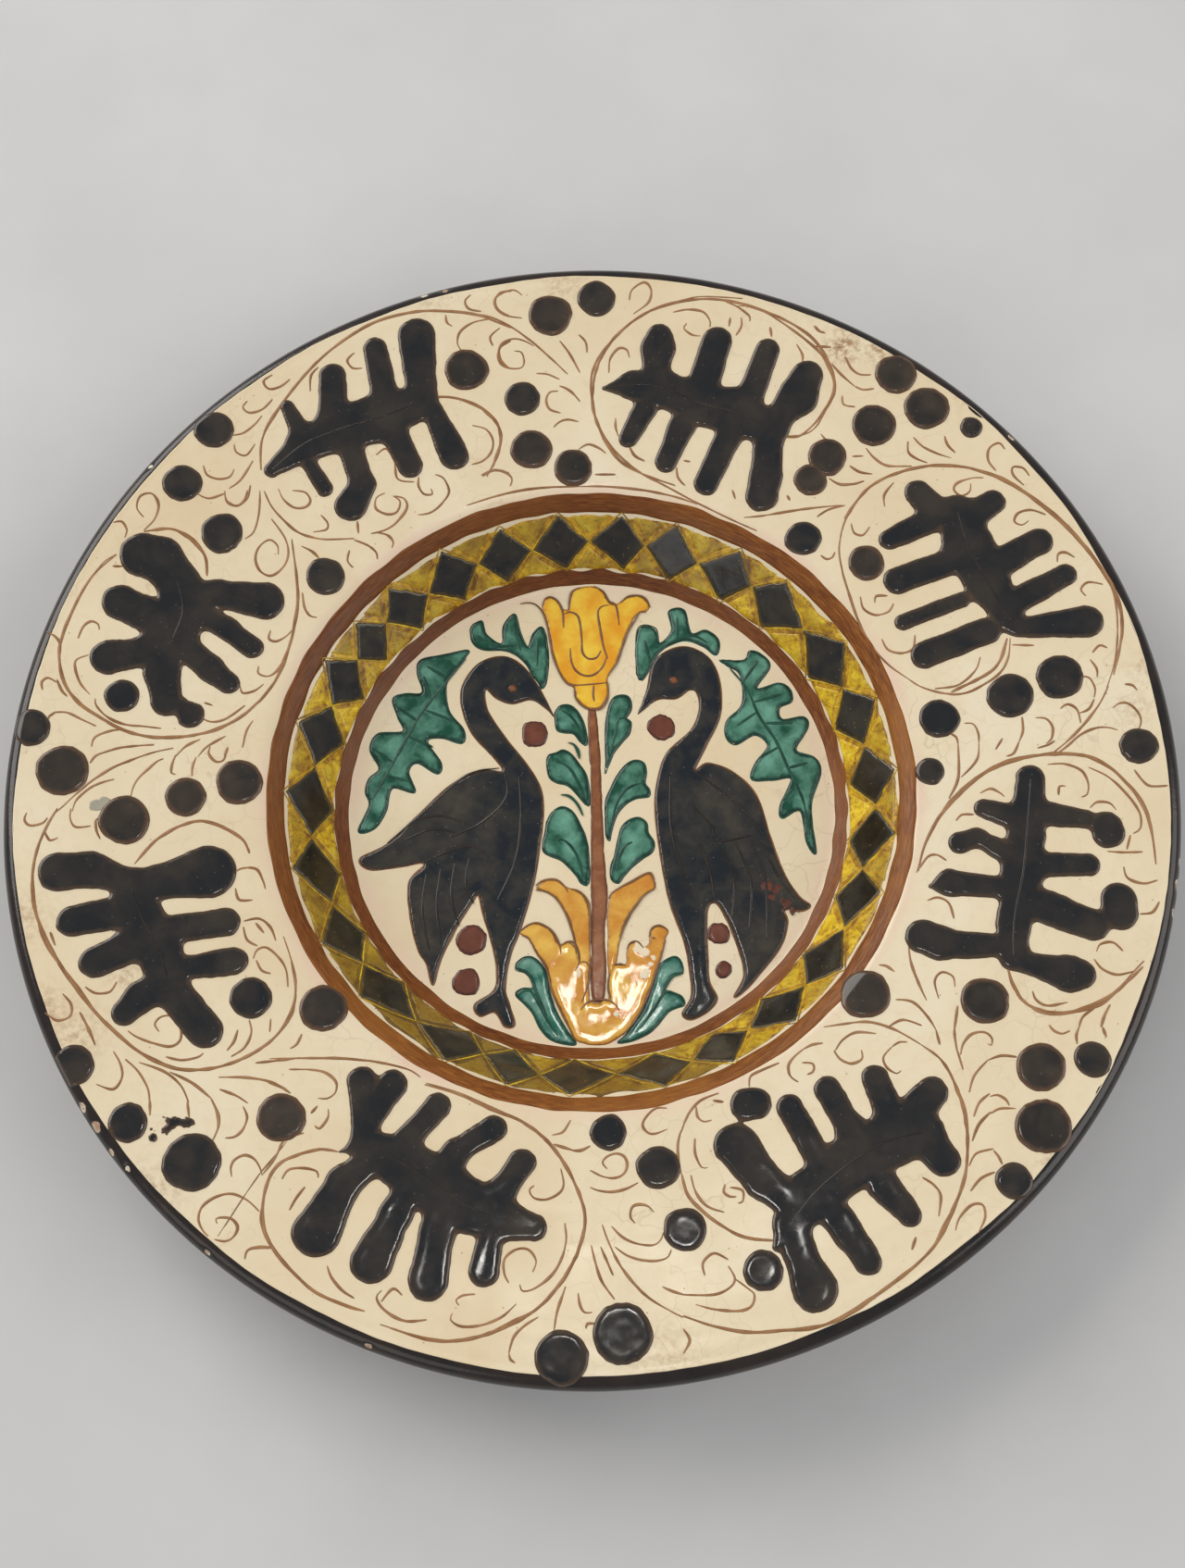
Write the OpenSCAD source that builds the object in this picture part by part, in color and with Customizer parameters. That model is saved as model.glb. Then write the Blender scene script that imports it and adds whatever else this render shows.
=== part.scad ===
// Hand painted ceramic plate: a thrown and fired clay body (foot ring, well and
// rim), its coats of slip and glaze, and the coloured enamels laid over them.
// Millimetres, +Z up. The origin is the centre of the foot ring's resting face,
// and +Y is the top of the painted design.

/* [Plate] */
// Outer diameter of the plate over its glazed lip
plate_d = 400; // [380:5:420]
// Height of the flat painted floor above the resting face
floor_h = 15; // [14:0.5:18]
// Height of the shoulder, where the well meets the rim
shoulder_h = 40; // [36:1:44]
// Height of the face at the edge of the rim
edge_h = 48.5; // [46:0.5:54]
// Thickness of the rim's wall under its shoulder and edge
rim_t = 8; // [7:0.5:9]
// Thickness of the rounded lip
lip_t = 9; // [8:0.5:10]
// Height of the recess inside the foot ring
foot_h = 6; // [4:0.5:7]

/* [Coats] */
// Thickness of the cream slip on the face
slip_t = 0.6; // [0.4:0.1:0.8]
// Thickness of the dark glaze on the lip and the back
glaze_t = 0.6; // [0.4:0.1:0.8]
// Thickness of the painted bands
band_t = 0.4; // [0.2:0.1:0.6]
// Height of the thick enamel motifs above the coat under them
relief_t = 0.8; // [0.5:0.1:1.2]
// Height of the thin brush lines above the slip
line_t = 0.2; // [0.1:0.1:0.3]
// Width of a thin brush line
line_w = 1.2; // [1:0.1:1.6]

/* [Checker band] */
// Distance of a diamond's corners from the edges of the band
diamond_inset = 1; // [0.4:0.1:2]
// Gap between neighbouring diamonds at their corners
diamond_gap = 0.4; // [0.2:0.1:0.8]

/* [Hidden] */

$fn = 96;
arc_steps = 6;        // chords in the half circle at a brush stroke's end
curve_steps = 2;      // chords between two points of a drawn outline
fillet = 1.2;         // the radius where two strokes run together
fillet_fn = 12;       // chords in a full turn of that radius
design_d = 400;       // the outer diameter that the motifs are drawn at
k = plate_d / design_d;

// Radii of the face, from the floor's edge to the edge of the cream slip.
floor_r = 85.5 * k;
ring_in = [86 * k, 90.5 * k];
checker = [90.5 * k, 106 * k];
ring_out = [106 * k, 112 * k];
shoulder_r = 116 * k;
rim_r = 118 * k;
lip_r = lip_t / 2;
slip_r = plate_d / 2 - lip_r;
foot_r = [72 * k, 80 * k];
glaze_r = 84 * k;
lip_under_r = 190 * k;

// The face: a flat floor, a steep well wall, a soft shoulder and a sloping rim.
wall_h = shoulder_h - floor_h;
face = [[0, floor_h], [floor_r, floor_h], [88 * k, floor_h + 0.04 * wall_h],
    [ring_in[1], floor_h + 0.13 * wall_h], [105 * k, floor_h + 0.77 * wall_h],
    [108.5 * k, floor_h + 0.89 * wall_h], [112 * k, floor_h + 0.97 * wall_h],
    [shoulder_r, shoulder_h], [slip_r, edge_h]];
lip_z = edge_h - lip_r;

// The clay's underside, from the middle of the well to the lip.
back = [[0, foot_h], [foot_r[1] + 3, foot_h], [90 * k, floor_h - 6], [100 * k, floor_h + 1],
    [rim_r, shoulder_h - rim_t - 0.5], [124 * k, rim_under(124 * k)],
    [lip_under_r, rim_under(lip_under_r)]];

// Heights of the face and of the rim's underside at a radius.
function face_z(r) = lookup(r, face);
function rim_under(r) = face_z(r) - rim_t;

// The corners of a profile that lie strictly between two radii.
function between(line, r0, r1) = [for (p = line) if (p[0] > r0 && p[0] < r1) p];
function lifted(line, dz) = [for (p = line) p + [0, dz]];
function reversed(line) = [for (i = [len(line) - 1:-1:0]) line[i]];
function stretch(line, r0, r1) = concat([[r0, lookup(r0, line)]], between(line, r0, r1),
    [[r1, lookup(r1, line)]]);
function lip_arc(r, a0, a1) = [for (i = [0:12]) let (a = a0 + (a1 - a0) * i / 12)
    [slip_r + r * cos(a), lip_z + r * sin(a)]];

// Outlines through hand drawn points (a Catmull-Rom curve), and brush strokes:
// tapered capsules between points [x, y, radius].
function curve_at(a, b, c, d, t) = 0.5 * (2 * b + (c - a) * t
    + (2 * a - 5 * b + 4 * c - d) * t * t + (3 * b - a - 3 * c + d) * t * t * t);
function closed_curve(p, n = curve_steps) = let (m = len(p)) [for (i = [0:m - 1], j = [0:n - 1])
    curve_at(p[(i + m - 1) % m], p[i], p[(i + 1) % m], p[(i + 2) % m], j / n)];
function open_curve(p, n = curve_steps) = let (m = len(p)) concat([for (i = [0:m - 2], j = [0:n - 1])
    curve_at(p[max(i - 1, 0)], p[i], p[i + 1], p[min(i + 2, m - 1)], j / n)], [p[m - 1]]);
function xy(p) = [p[0], p[1]];
function polar(r, a) = r * [cos(a), sin(a)];
function turn(v) = [-v[1], v[0]];
function side(p, i) = let (v = p[min(i + 1, len(p) - 1)] - p[max(i - 1, 0)]) turn(v) / norm(v);
function ribbon(p, w) = concat([for (i = [0:len(p) - 1]) p[i] + side(p, i) * w / 2],
    [for (i = [len(p) - 1:-1:0]) p[i] - side(p, i) * w / 2]);
function cap(c, from, to) = [for (i = [0:arc_steps]) let (a = from + (to - from) * i / arc_steps)
    xy(c) + c[2] * [cos(a), sin(a)]];
function capsule(a, b) = let (v = xy(b) - xy(a), along = atan2(v[1], v[0]),
    lean = acos(max(-1, min(1, (a[2] - b[2]) / norm(v)))))
    concat(cap(a, along + lean, along + 360 - lean), cap(b, along - lean, along + lean));

module brush(strokes) {
    offset(r = -fillet, $fn = fillet_fn) offset(delta = fillet)
        for (s = strokes, i = [0:len(s) - 2]) polygon(k * capsule(s[i], s[i + 1]));
}
module outline(points) polygon(k * closed_curve(points));
module line(points) polygon(k * ribbon(open_curve(points), line_w / k));
module dots(list) for (d = list) translate(k * xy(d)) circle(r = k * d[2], $fn = 48);

// A coat of thickness t over a profile, between two radii.
module coat(line, r0, r1, t, lift = 0) rotate_extrude()
    polygon(concat(lifted(stretch(line, r0, r1), lift), reversed(lifted(stretch(line, r0, r1), lift + t))));
module on_floor(t = relief_t) translate([0, 0, floor_h]) linear_extrude(t) children();
module on_rim(t = relief_t, r0 = ring_out[1]) intersection() {
    coat(face, r0, slip_r, t);
    translate([0, 0, floor_h]) linear_extrude(edge_h) children();
}

// Directions of the hand painted diamonds of the checker, which aren't evenly spaced.
DIAMOND_ANGLES = [5, 18, 31.5, 48, 60.5, 73, 84.5, 97, 109, 121, 133.5, 143, 153.5, 165.5, 180.5, 196, 210,
    224.5, 242.5, 254, 266.5, 284, 296.5, 310, 325, 338.5, 351.5];

// Brush strokes of the eight rim leaves, clockwise from the upper left: the
// spine first, then each lobe from its tip.
LEAVES = [
    [[[-115, 118, 3], [-103.5, 128.5, 6.5], [-90, 135, 9], [-76.5, 139.5, 9], [-63, 145.5, 7]],
        [[-110.5, 142.5, 2.5], [-104, 131, 4.5]], [[-94.5, 155, 5], [-94, 138.5, 5.5]],
        [[-79.5, 166, 4.5], [-75.5, 148.5, 5]], [[-64.5, 171.5, 7], [-62, 148.5, 5.5]],
        [[-50, 125.5, 5.5], [-57.5, 141.5, 4]], [[-65.5, 121, 4.5], [-71.5, 133, 5]],
        [[-86.5, 105.5, 6], [-82.5, 113.5, 4.5], [-86.5, 125, 4.5]],
        [[-96, 111.5, 3], [-101.5, 120.5, 3]]],
    [[[4.5, 151.5, 1], [15, 152.5, 5.5], [25, 151.5, 7], [38.5, 145.5, 8], [51.5, 141.5, 9], [65, 135, 6.5]],
        [[24.5, 171.5, 5], [24, 167, 6], [23, 157.5, 5]], [[45.5, 169.5, 5.5], [40.5, 152.5, 6]],
        [[64, 165.5, 4.5], [57, 147, 5]], [[78, 155, 6], [74.5, 147, 7], [67, 138.5, 5]],
        [[13, 132, 3.5], [19, 143, 4.5]], [[26.5, 123, 4], [32.5, 136.5, 5]],
        [[41, 114.5, 4.5], [49, 131.5, 5]], [[61, 109.5, 6], [62.5, 116.5, 5.5], [63.5, 128.5, 5.5]]],
    [[[130, 100.5, 7], [133.5, 86.5, 9], [139.5, 73.5, 7.5], [146, 60, 5]],
        [[116.5, 108.5, 5], [122, 102, 5.5]], [[142.5, 104, 4.5], [132.5, 98, 6]],
        [[106, 91.5, 4], [120, 98, 5]], [[108, 76, 5], [124.5, 81.5, 5]],
        [[109.5, 60.5, 3], [130, 68, 3]], [[116.5, 48, 5], [138, 56, 5]],
        [[157.5, 88.5, 5], [145.5, 82, 5.5]], [[166, 75.5, 4], [148.5, 66.5, 5]],
        [[172, 58, 6], [148.5, 56.5, 3.5]]],
    [[[150, 1.5, 5], [147.5, -18.5, 6], [145.5, -31.5, 7], [141.5, -48.5, 5.5], [140.5, -60.5, 5]],
        [[167, -13.5, 3.5], [153.5, -10.5, 4.5]], [[174.5, -18.5, 5.5], [174, -16.5, 5.5]],
        [[167, -29.5, 4], [152.5, -29, 4.5]], [[167, -50.5, 5.5], [150.5, -43, 6]],
        [[176, -46.5, 6], [176, -42, 6]], [[162.5, -67, 4.5], [158.5, -67, 6], [145.5, -63, 4]],
        [[134, -8.5, 3.5], [143, -11.5, 4.5]], [[125.5, -20.5, 4], [131, -18.5, 3], [140.5, -24.5, 4]],
        [[115, -35.5, 1], [121, -34.5, 4.5], [137.5, -36.5, 4]],
        [[111.5, -53, 6], [117, -55.5, 5.5], [136.5, -57, 4]]],
    [[[108, -119, 7], [96, -122, 8.5], [84, -129, 8.5], [72, -139, 8.5], [64, -149, 5]],
        [[111.5, -106, 5.5], [104, -114, 6]], [[93.5, -101, 4.5], [97.5, -112, 5]],
        [[114, -128, 5.5], [108, -120, 6.5]], [[102.5, -145.5, 4], [94.5, -136, 5.5]],
        [[88.5, -160, 4.5], [80, -147, 5.5]], [[71.5, -168.5, 7.5], [67, -157, 5], [66, -148, 5]],
        [[48, -123, 7.5], [56, -134, 6], [64, -141, 5.5]], [[65.5, -110.5, 4.5], [74, -127, 4.5]],
        [[78, -104.5, 4.5], [84.5, -117, 4.5], [88, -124, 5]], [[60, -155.5, 1.5], [64, -149, 5]],
        [[51.5, -109.5, 5.5], [54, -109, 5.5]]],
    [[[-73, -122, 4.5], [-62, -128, 8], [-49, -136, 9.5], [-38, -143, 8.5], [-28, -147, 7]],
        [[-74.5, -102, 5], [-73, -118, 4]], [[-64.5, -103, 5], [-72, -116, 4]], [[-80.5, -125.5, 0.5], [-72, -123, 4]],
        [[-49.5, -110, 4.5], [-58.5, -121, 4], [-62, -128, 5]], [[-31, -117.5, 4.5], [-43, -125, 4], [-46, -131, 5]],
        [[-21.5, -128.5, 4.5], [-28, -138, 4.5], [-34, -142, 5]], [[-17.5, -149.5, 4.5], [-28.5, -147, 7]],
        [[-33, -163.5, 5], [-31, -152, 4]], [[-50.5, -166.5, 6.5], [-48.5, -152, 5.5], [-47, -140, 5]],
        [[-68.5, -160.5, 7], [-61.5, -145, 5], [-57, -136, 5]], [[-86.5, -151.5, 8], [-78.5, -135.5, 5.5], [-70, -128, 5]]],
    [[[-154, -38, 7], [-150, -48, 7], [-144, -58, 7.5], [-140, -68, 7]],
        [[-178.5, -32.5, 7], [-168, -31.5, 6], [-156, -35, 4.5]], [[-129.5, -31, 9.5], [-145, -35, 6], [-152, -37, 6]],
        [[-172.5, -49.5, 5.5], [-158, -46, 6]], [[-164, -63.5, 5.5], [-152, -57, 6]],
        [[-153, -80.5, 4.5], [-148, -74.5, 5], [-140, -71, 5.5]], [[-126.5, -86, 6], [-138, -73, 6]],
        [[-119, -62, 5], [-136, -65, 4]], [[-122.5, -48.5, 5], [-142, -52, 5]]],
    [[[-146, 74, 7], [-143.5, 64, 8.5], [-146.5, 53, 8.5]],
        [[-158.5, 84, 8.5], [-153, 83, 8], [-144, 72.5, 7]], [[-115.5, 68.5, 7], [-131.5, 70.5, 5], [-140, 69, 6]],
        [[-119, 51, 4], [-128, 57.5, 4], [-137, 62, 4.5]], [[-126.5, 37.5, 4], [-133, 42.5, 4.5], [-141, 49, 5]],
        [[-147.5, 30, 5.5], [-149.5, 41, 6], [-149, 52, 7]], [[-168, 45.5, 6.5], [-158, 47.5, 5], [-150, 52, 6]],
        [[-165.5, 66, 6.5], [-157, 62.5, 6], [-149, 58, 6.5]], [[-139, 25.5, 5], [-142, 28.5, 3]]]
];

// Single enamel dots on the rim: x, y and radius.
DOTS = [[-15.5, 180, 8], [1.5, 186.5, 7], [-46, 158.5, 8], [-25.5, 147.5, 6.5], [-22, 128, 7.5], [-7, 121, 7],
    [-136.5, 133, 7], [-146.5, 112, 7], [-131.5, 93.5, 7.5], [-94.5, 78.5, 7], [-162.5, 31.5, 6],
    [-192, 18.5, 6.5], [-180.5, 3.5, 9], [-158.5, -13.5, 8.5], [-138.5, -4.5, 7], [-121, 1.5, 8], [-112.5, -74.5, 7],
    [-168, -98.5, 7], [-149, -117, 6.5], [-127.5, -129.5, 9.5], [-100, -114.5, 8], [-88.5, -77.5, 8],
    [-8, -190, 8.5], [11, -182.5, 9.5], [6.5, -118.5, 6], [22.5, -130, 7], [31, -150, 7], [55.5, -163, 6.5],
    [91.5, -72.5, 8.5], [130.5, -75.5, 8], [147, -98, 8], [163.5, -95.5, 6], [146.5, -117.5, 9],
    [136, -135, 6], [186.5, 12, 6.5], [120.5, 24.5, 7], [116.5, 5.5, 5], [145, 32, 8], [162, 38, 8],
    [97.5, 83, 6.5], [75.5, 93, 6.5], [84.5, 123.5, 7], [78.5, 115, 6], [101.5, 135, 8], [110, 154.5, 7.5],
    [120.5, 141, 8], [136, 133, 4]];

// Thin ochre brush lines: the vine that runs round each rim leaf.
VINES = [
    [[-119, 118], [-119, 130], [-113, 143], [-100, 161], [-83, 175], [-68, 180.5], [-55, 181.5], [-42, 180], [-30, 175]],
    [[-57, 148], [-48, 147], [-38, 142], [-33, 133], [-36, 121]],
    [[68, 132], [75, 132], [83, 140], [88, 152], [80, 170], [60, 182], [40, 186], [20, 181], [5, 167], [0, 150],
        [3, 135], [12, 122], [30, 114]],
    [[90, 100], [100, 112], [115, 118], [130, 118.5], [145, 113], [160, 102], [172, 88], [182, 70], [184, 55], [180, 38]],
    [[145, 53], [140, 42], [125, 34]],
    [[111, -30], [114, -20], [121, -8], [130, 1], [142, 8], [157, 10], [172, 8], [183, -3], [188, -15], [189, -30]],
    [[182, -65], [170, -75], [155, -80], [143, -76], [138, -63]],
    [[59, -153.5], [50, -152.5], [43, -149], [37, -144.5], [32, -139], [30, -132]],
    [[109, -90], [115, -95], [119, -103], [122, -116], [121, -131], [117, -142], [109, -156], [93, -169],
        [75, -179.5], [60, -181.5], [50, -182], [39, -180], [30, -177]],
    [[-81, -125.5], [-88, -125], [-100, -130], [-104, -142], [-101, -155], [-90, -167], [-82, -172], [-70, -176]],
    [[-54, -103], [-43, -106], [-32, -111], [-22, -115], [-13, -122], [-5, -134], [-1, -147], [-5, -161],
        [-16, -175], [-32, -183], [-47, -185], [-62, -181]],
    [[-181, -10], [-186, -23], [-187, -36], [-184, -49], [-175, -65], [-162, -81], [-148, -93], [-134, -99],
        [-118, -97], [-104, -88], [-98, -75], [-100, -61]],
    [[-154, -29], [-146, -19], [-133, -13], [-120, -18], [-116, -24]],
    [[-168, 84], [-176, 75], [-182, 61], [-185, 47], [-181, 33], [-169, 23], [-154, 17], [-137, 18], [-122, 25],
        [-111, 38], [-106, 53], [-104, 70], [-107, 92]],
    [[-159, 93], [-148, 94], [-138, 86], [-136, 77]]
];

// Outlines of the medallion's motifs.
LEFT_BIRD = [[-13.5, 34.5], [-19.5, 46.5], [-26, 55], [-33, 58], [-41.5, 55], [-47, 46.5], [-47, 38], [-43, 28],
    [-35.5, 19.5], [-32, 14], [-39.5, 14], [-50.5, 8.5], [-61.5, -2.5], [-72.5, -13.5], [-81.5, -18.5], [-78.5, -22.5],
    [-70, -22], [-59, -20.5], [-64, -27.5], [-63, -40.5], [-60, -51.5], [-57, -56.5], [-54.5, -64], [-52, -55],
    [-46.5, -43], [-41.5, -34.5], [-39.5, -32], [-37.5, -39.5], [-34.5, -49], [-32.5, -59], [-33.5, -66], [-40, -71],
    [-38, -75], [-33, -73.5], [-29.5, -78.5], [-26, -78], [-28, -71], [-29.5, -65], [-28, -54], [-24.5, -44],
    [-20, -27], [-18, -12.5], [-17, 0], [-18.5, 8.5], [-23.5, 17], [-30.5, 26], [-37.5, 37], [-38.5, 45],
    [-34.5, 41.5], [-29, 39.5], [-22, 41], [-17, 38]];
RIGHT_BIRD = [[16.5, 35.5], [19.5, 44], [22, 55], [28, 60.5], [35.5, 61.5], [43, 56.5], [46.5, 46.5], [46, 34.5],
    [41, 23.5], [37, 14.5], [41.5, 17], [50.5, 13.5], [58.5, 5], [63, -10], [67.5, -23.5], [72.5, -32], [76.5, -35.5],
    [73.5, -37.5], [67.5, -37], [68.5, -41.5], [66, -50], [60, -58], [54, -65], [49.5, -68], [53, -60], [50.5, -49],
    [46, -38], [43, -34.5], [40.5, -38], [40.5, -53], [41, -62.5], [43.5, -68.5], [40.5, -73], [34.5, -76],
    [31.5, -74], [34.5, -68.5], [34.5, -61.5], [32.5, -49], [27.5, -34.5], [24.5, -18.5], [22.5, -1], [23.5, 11],
    [27, 21], [35.5, 29.5], [38.5, 37], [38, 43], [35.5, 45], [30.5, 41.5], [23.5, 41]];
TULIP = [[-1.5, 37.5], [-4, 39.2], [-6, 42], [-6.3, 45.5], [-9.5, 47.5], [-12.3, 52], [-14.5, 59], [-15.6, 66], [-17, 72],
    [-18.5, 77], [-17.6, 80.6], [-15.5, 81.4], [-13, 80], [-11, 76.5], [-9, 76], [-8.5, 80], [-7.5, 83.5], [-4.5, 85],
    [0.5, 85.4], [3.8, 83.4], [6, 79.5], [8.5, 78.6], [12.5, 81.2], [17, 81.8], [19.8, 80], [21.2, 77.2], [19.5, 75.2],
    [17, 75], [14.5, 71], [12.4, 66.5], [10.6, 60.5], [8.8, 55], [5.8, 50], [5.9, 44], [5, 40.3], [3, 37.6]];
STEM = [[-1.5, 37.5], [1, 37.5], [2.8, 25], [3.7, 5], [4.3, -10], [5.3, -25], [6, -34], [5, -45], [5.5, -60], [4.5, -69],
    [0.5, -69], [0, -55], [0, -35], [-0.3, -20], [-0.3, 5], [-1, 22]];
STEM_LEAVES = [
    [[-13.5, 36], [-12, 38.5], [-9.5, 39.3], [-7, 38.5], [-4.5, 35.5], [-2.4, 30], [-1.8, 24], [-4, 25], [-6.5, 28],
        [-10, 28.5], [-12.5, 29.5], [-13.3, 33]],
    [[-16.2, 18], [-15.5, 20], [-12.5, 21], [-10.5, 22], [-8, 21], [-5.5, 18], [-2.5, 13.5], [-1, 8], [-0.9, 1],
        [-2, 1.5], [-5, 5], [-8.5, 8.5], [-12.5, 9.5], [-15, 11.5], [-16, 15]],
    [[-16, -5], [-14.5, -2], [-12, 0.2], [-9.5, 0.5], [-6.5, -1.5], [-4, -6], [-2, -11], [-1, -17], [-0.9, -27.5],
        [-3.5, -27.5], [-5, -25], [-8, -21.5], [-11, -19], [-16.5, -16.5], [-17.2, -13], [-16.5, -9]],
    [[5, 18], [4.8, 25], [5, 32], [6, 38], [7.5, 41.5], [9.5, 42.7], [12.5, 42.6], [14, 40.5], [14, 37], [12.3, 34],
        [14, 32.5], [13.5, 28.5], [11, 25], [8, 21], [6, 16], [4.8, 13]],
    [[4.8, -3], [5, 3], [7, 8], [9.5, 13], [12.5, 16.5], [15.5, 18], [18.5, 17], [19.5, 13.5], [19, 9.5], [20.5, 7],
        [20.3, 4.5], [16, 3.7], [12, 1.5], [9, -2.5], [7, -9], [6.5, -12], [5.2, -10]],
    [[8, -18], [9.5, -11], [11, -6.5], [14, -4], [17, -3.5], [19.5, -5.5], [20, -9], [22, -12.5], [21.5, -16],
        [18, -18.5], [14.5, -21.5], [11.5, -25], [9.5, -27.5], [7, -26], [6.8, -21.5]]
];
BASE_PETALS = [
    [[-19.5, -29.5], [-17, -26.8], [-12.5, -26.3], [-9.5, -28], [-6.5, -29.6], [-3, -31.5], [-1, -35], [0, -43],
        [0, -58], [-3, -60], [-5, -55], [-6, -47], [-8.5, -39], [-12, -33.5], [-16, -30.8]],
    [[-25, -45.5], [-22, -42.8], [-18.5, -42], [-14, -44.5], [-11, -49.5], [-8, -48.8], [-5, -50.5], [-4, -55],
        [-1, -57], [-0.5, -66], [0, -72], [2, -80], [0, -84], [-5, -83.5], [-9, -76], [-13, -67], [-15, -59],
        [-18.5, -53], [-22, -47.5]],
    [[6, -34], [9, -29.5], [14, -27], [20, -23.7], [22, -26], [22.5, -29.3], [18.5, -32], [14, -38], [11.5, -43],
        [10, -49], [9, -56], [6, -60]],
    [[27, -44.5], [24, -42.7], [21, -44], [20, -49], [17.5, -50.5], [15, -48.6], [12.5, -51], [12, -56.5], [8, -56.5],
        [6, -62], [6, -72], [4, -80], [6, -84], [11, -81.5], [16, -75.5], [20, -67], [23, -58], [25, -52], [26, -48]],
    [[-3.5, -73], [-1, -70], [3, -69], [7.5, -70], [10, -73], [12, -78], [8, -83.5], [3, -85], [-3, -84], [-6, -79]]
];
BASE_LEAVES = [
    [[-26, -56.3], [-23.5, -54.2], [-20.5, -54], [-17.5, -56.2], [-15.3, -60], [-14, -67], [-11.5, -74], [-8, -80],
        [-5, -84.5], [-9, -84.5], [-13.5, -83], [-17, -79.5], [-20.5, -73], [-25.8, -67.5], [-23.5, -65.2], [-20, -65],
        [-20.8, -61.8], [-23, -59.7], [-26, -58.8]],
    [[32, -59.8], [31.6, -56], [29.5, -53.8], [26, -55], [23, -58], [21, -64], [19.5, -70], [16, -76.5], [12, -81.5],
        [9.5, -84], [14, -83.5], [19.5, -81], [23, -78], [26.5, -73.5], [29.5, -72], [32.3, -70.8], [31.5, -68],
        [28.5, -66.5], [25.8, -66], [26.8, -62.8], [29, -60.5]]
];
LEFT_SPRAY = [
    [[-44.5, 69.5], [-40.5, 72], [-38.5, 66.5], [-33, 63], [-32.5, 70], [-28.5, 74.5], [-26.5, 68], [-23.5, 61.5],
        [-21.5, 67], [-18, 69], [-16, 58], [-17, 47], [-20, 46.5], [-24, 55], [-31, 60], [-40, 60.5], [-44, 64]],
    [[-45, 60.5], [-55, 58.5], [-62.5, 56.5], [-63.5, 51.5], [-61.5, 44], [-67.5, 43.5], [-72, 41.5], [-70, 34.5],
        [-68, 29], [-77, 28], [-79.5, 22], [-76, 15], [-79.5, 11], [-80.5, 6], [-79, 1], [-82.5, -8.5], [-77, -7.5],
        [-73, -1], [-71, 7.5], [-63, 6], [-65.5, 13.5], [-62.5, 17], [-55, 13], [-54, 17], [-59, 25], [-54, 26.5],
        [-46.5, 24.5], [-46, 29.5], [-51.5, 37], [-52.5, 48], [-46.5, 56.5]]
];
RIGHT_SPRAY = [
    [[16, 51], [16.5, 68.5], [23, 69], [24.5, 63], [29, 68], [28, 75.5], [33.5, 76], [36, 67], [41.5, 68], [46, 64],
        [45, 58.5], [40, 62], [33, 64], [25, 60], [20.5, 52], [18, 48.5]],
    [[46, 56.5], [55, 56.5], [57, 60], [61, 59], [64.5, 54], [59.5, 45.5], [67.5, 47.5], [71.5, 45], [72, 40.5],
        [67.5, 38], [68.5, 33.5], [76, 34.5], [77.5, 30.5], [73, 22], [79.5, 19], [81.5, 13.5], [78, 2.5], [78, -6],
        [79, -16.5], [76, -12.5], [74, -1], [67.5, -3.5], [67, 1], [71, 11], [64, 10.5], [57, 11], [58.5, 17],
        [63, 23.5], [58.5, 27.5], [51.5, 24], [48, 27], [48.5, 33], [54, 39.5], [53.5, 50.5], [49, 54]]
];
RED_DOTS = [[-20.5, 28, 5], [25, 30.5, 5], [-41.5, -48, 5.5], [-43, -63, 5], [44.5, -45.5, 4], [46, -58.5, 3]];

// The fired clay: a turned foot ring, the well with its floor and wall, and the
// rim with its rounded lip.
module foot_ring() color("peru") rotate_extrude()
    polygon([[foot_r[0], 0], [foot_r[1], 0], [foot_r[1] + 3, foot_h], [foot_r[0] - 2, foot_h]]);
module clay_well() color("sienna") rotate_extrude()
    polygon(concat(lifted(stretch(face, 0, rim_r), -slip_t), reversed(stretch(back, 0, rim_r))));
module clay_rim() color("sienna") rotate_extrude()
    polygon(concat(lifted(stretch(face, rim_r, slip_r), -slip_t), lip_arc(lip_r - glaze_t, 90, -90),
        reversed(stretch(back, rim_r, lip_under_r))));

// Cream slip over the whole face, inside the lip.
module cream_slip() color("wheat") coat(face, 0, slip_r, slip_t, -slip_t);

// Dark glaze over the lip, under the rim and down the outside of the well.
module back_glaze() color("#241c18") rotate_extrude()
    polygon(concat(lip_arc(lip_r, 90, -90), reversed(lifted(stretch(back, glaze_r, lip_under_r), -glaze_t)),
        stretch(back, glaze_r, lip_under_r), reversed(lip_arc(lip_r - glaze_t, 90, -90))));

// Painted bands round the well.
module outer_ring() color("#8a4a26") coat(face, ring_out[0], ring_out[1], band_t);
module inner_ring() color("#7c4028") coat(face, ring_in[0], ring_in[1], band_t);
module checker_ground() color("#b08a1e") coat(face, checker[0], checker[1], band_t);

// Black diamonds on the mustard ground, corner to corner round the well.
module checker_diamonds() color("#1c1b1a")
    intersection() {
        coat(face, checker[0], checker[1], band_t, band_t);
        translate([0, 0, floor_h]) linear_extrude(shoulder_h) for (i = [0:len(DIAMOND_ANGLES) - 1]) diamond(i);
    }
module diamond(i) {
    n = len(DIAMOND_ANGLES);
    a = DIAMOND_ANGLES[i];
    mid = (checker[0] + checker[1]) / 2;
    gap = diamond_gap / 2 / mid * 180 / PI;
    left = (DIAMOND_ANGLES[(i + 1) % n] - a + 360) % 360 / 2 - gap;
    right = (a - DIAMOND_ANGLES[(i + n - 1) % n] + 360) % 360 / 2 - gap;
    polygon([polar(checker[0] + diamond_inset, a), polar(mid, a - right), polar(checker[1] - diamond_inset, a),
        polar(mid, a + left)]);
}

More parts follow.
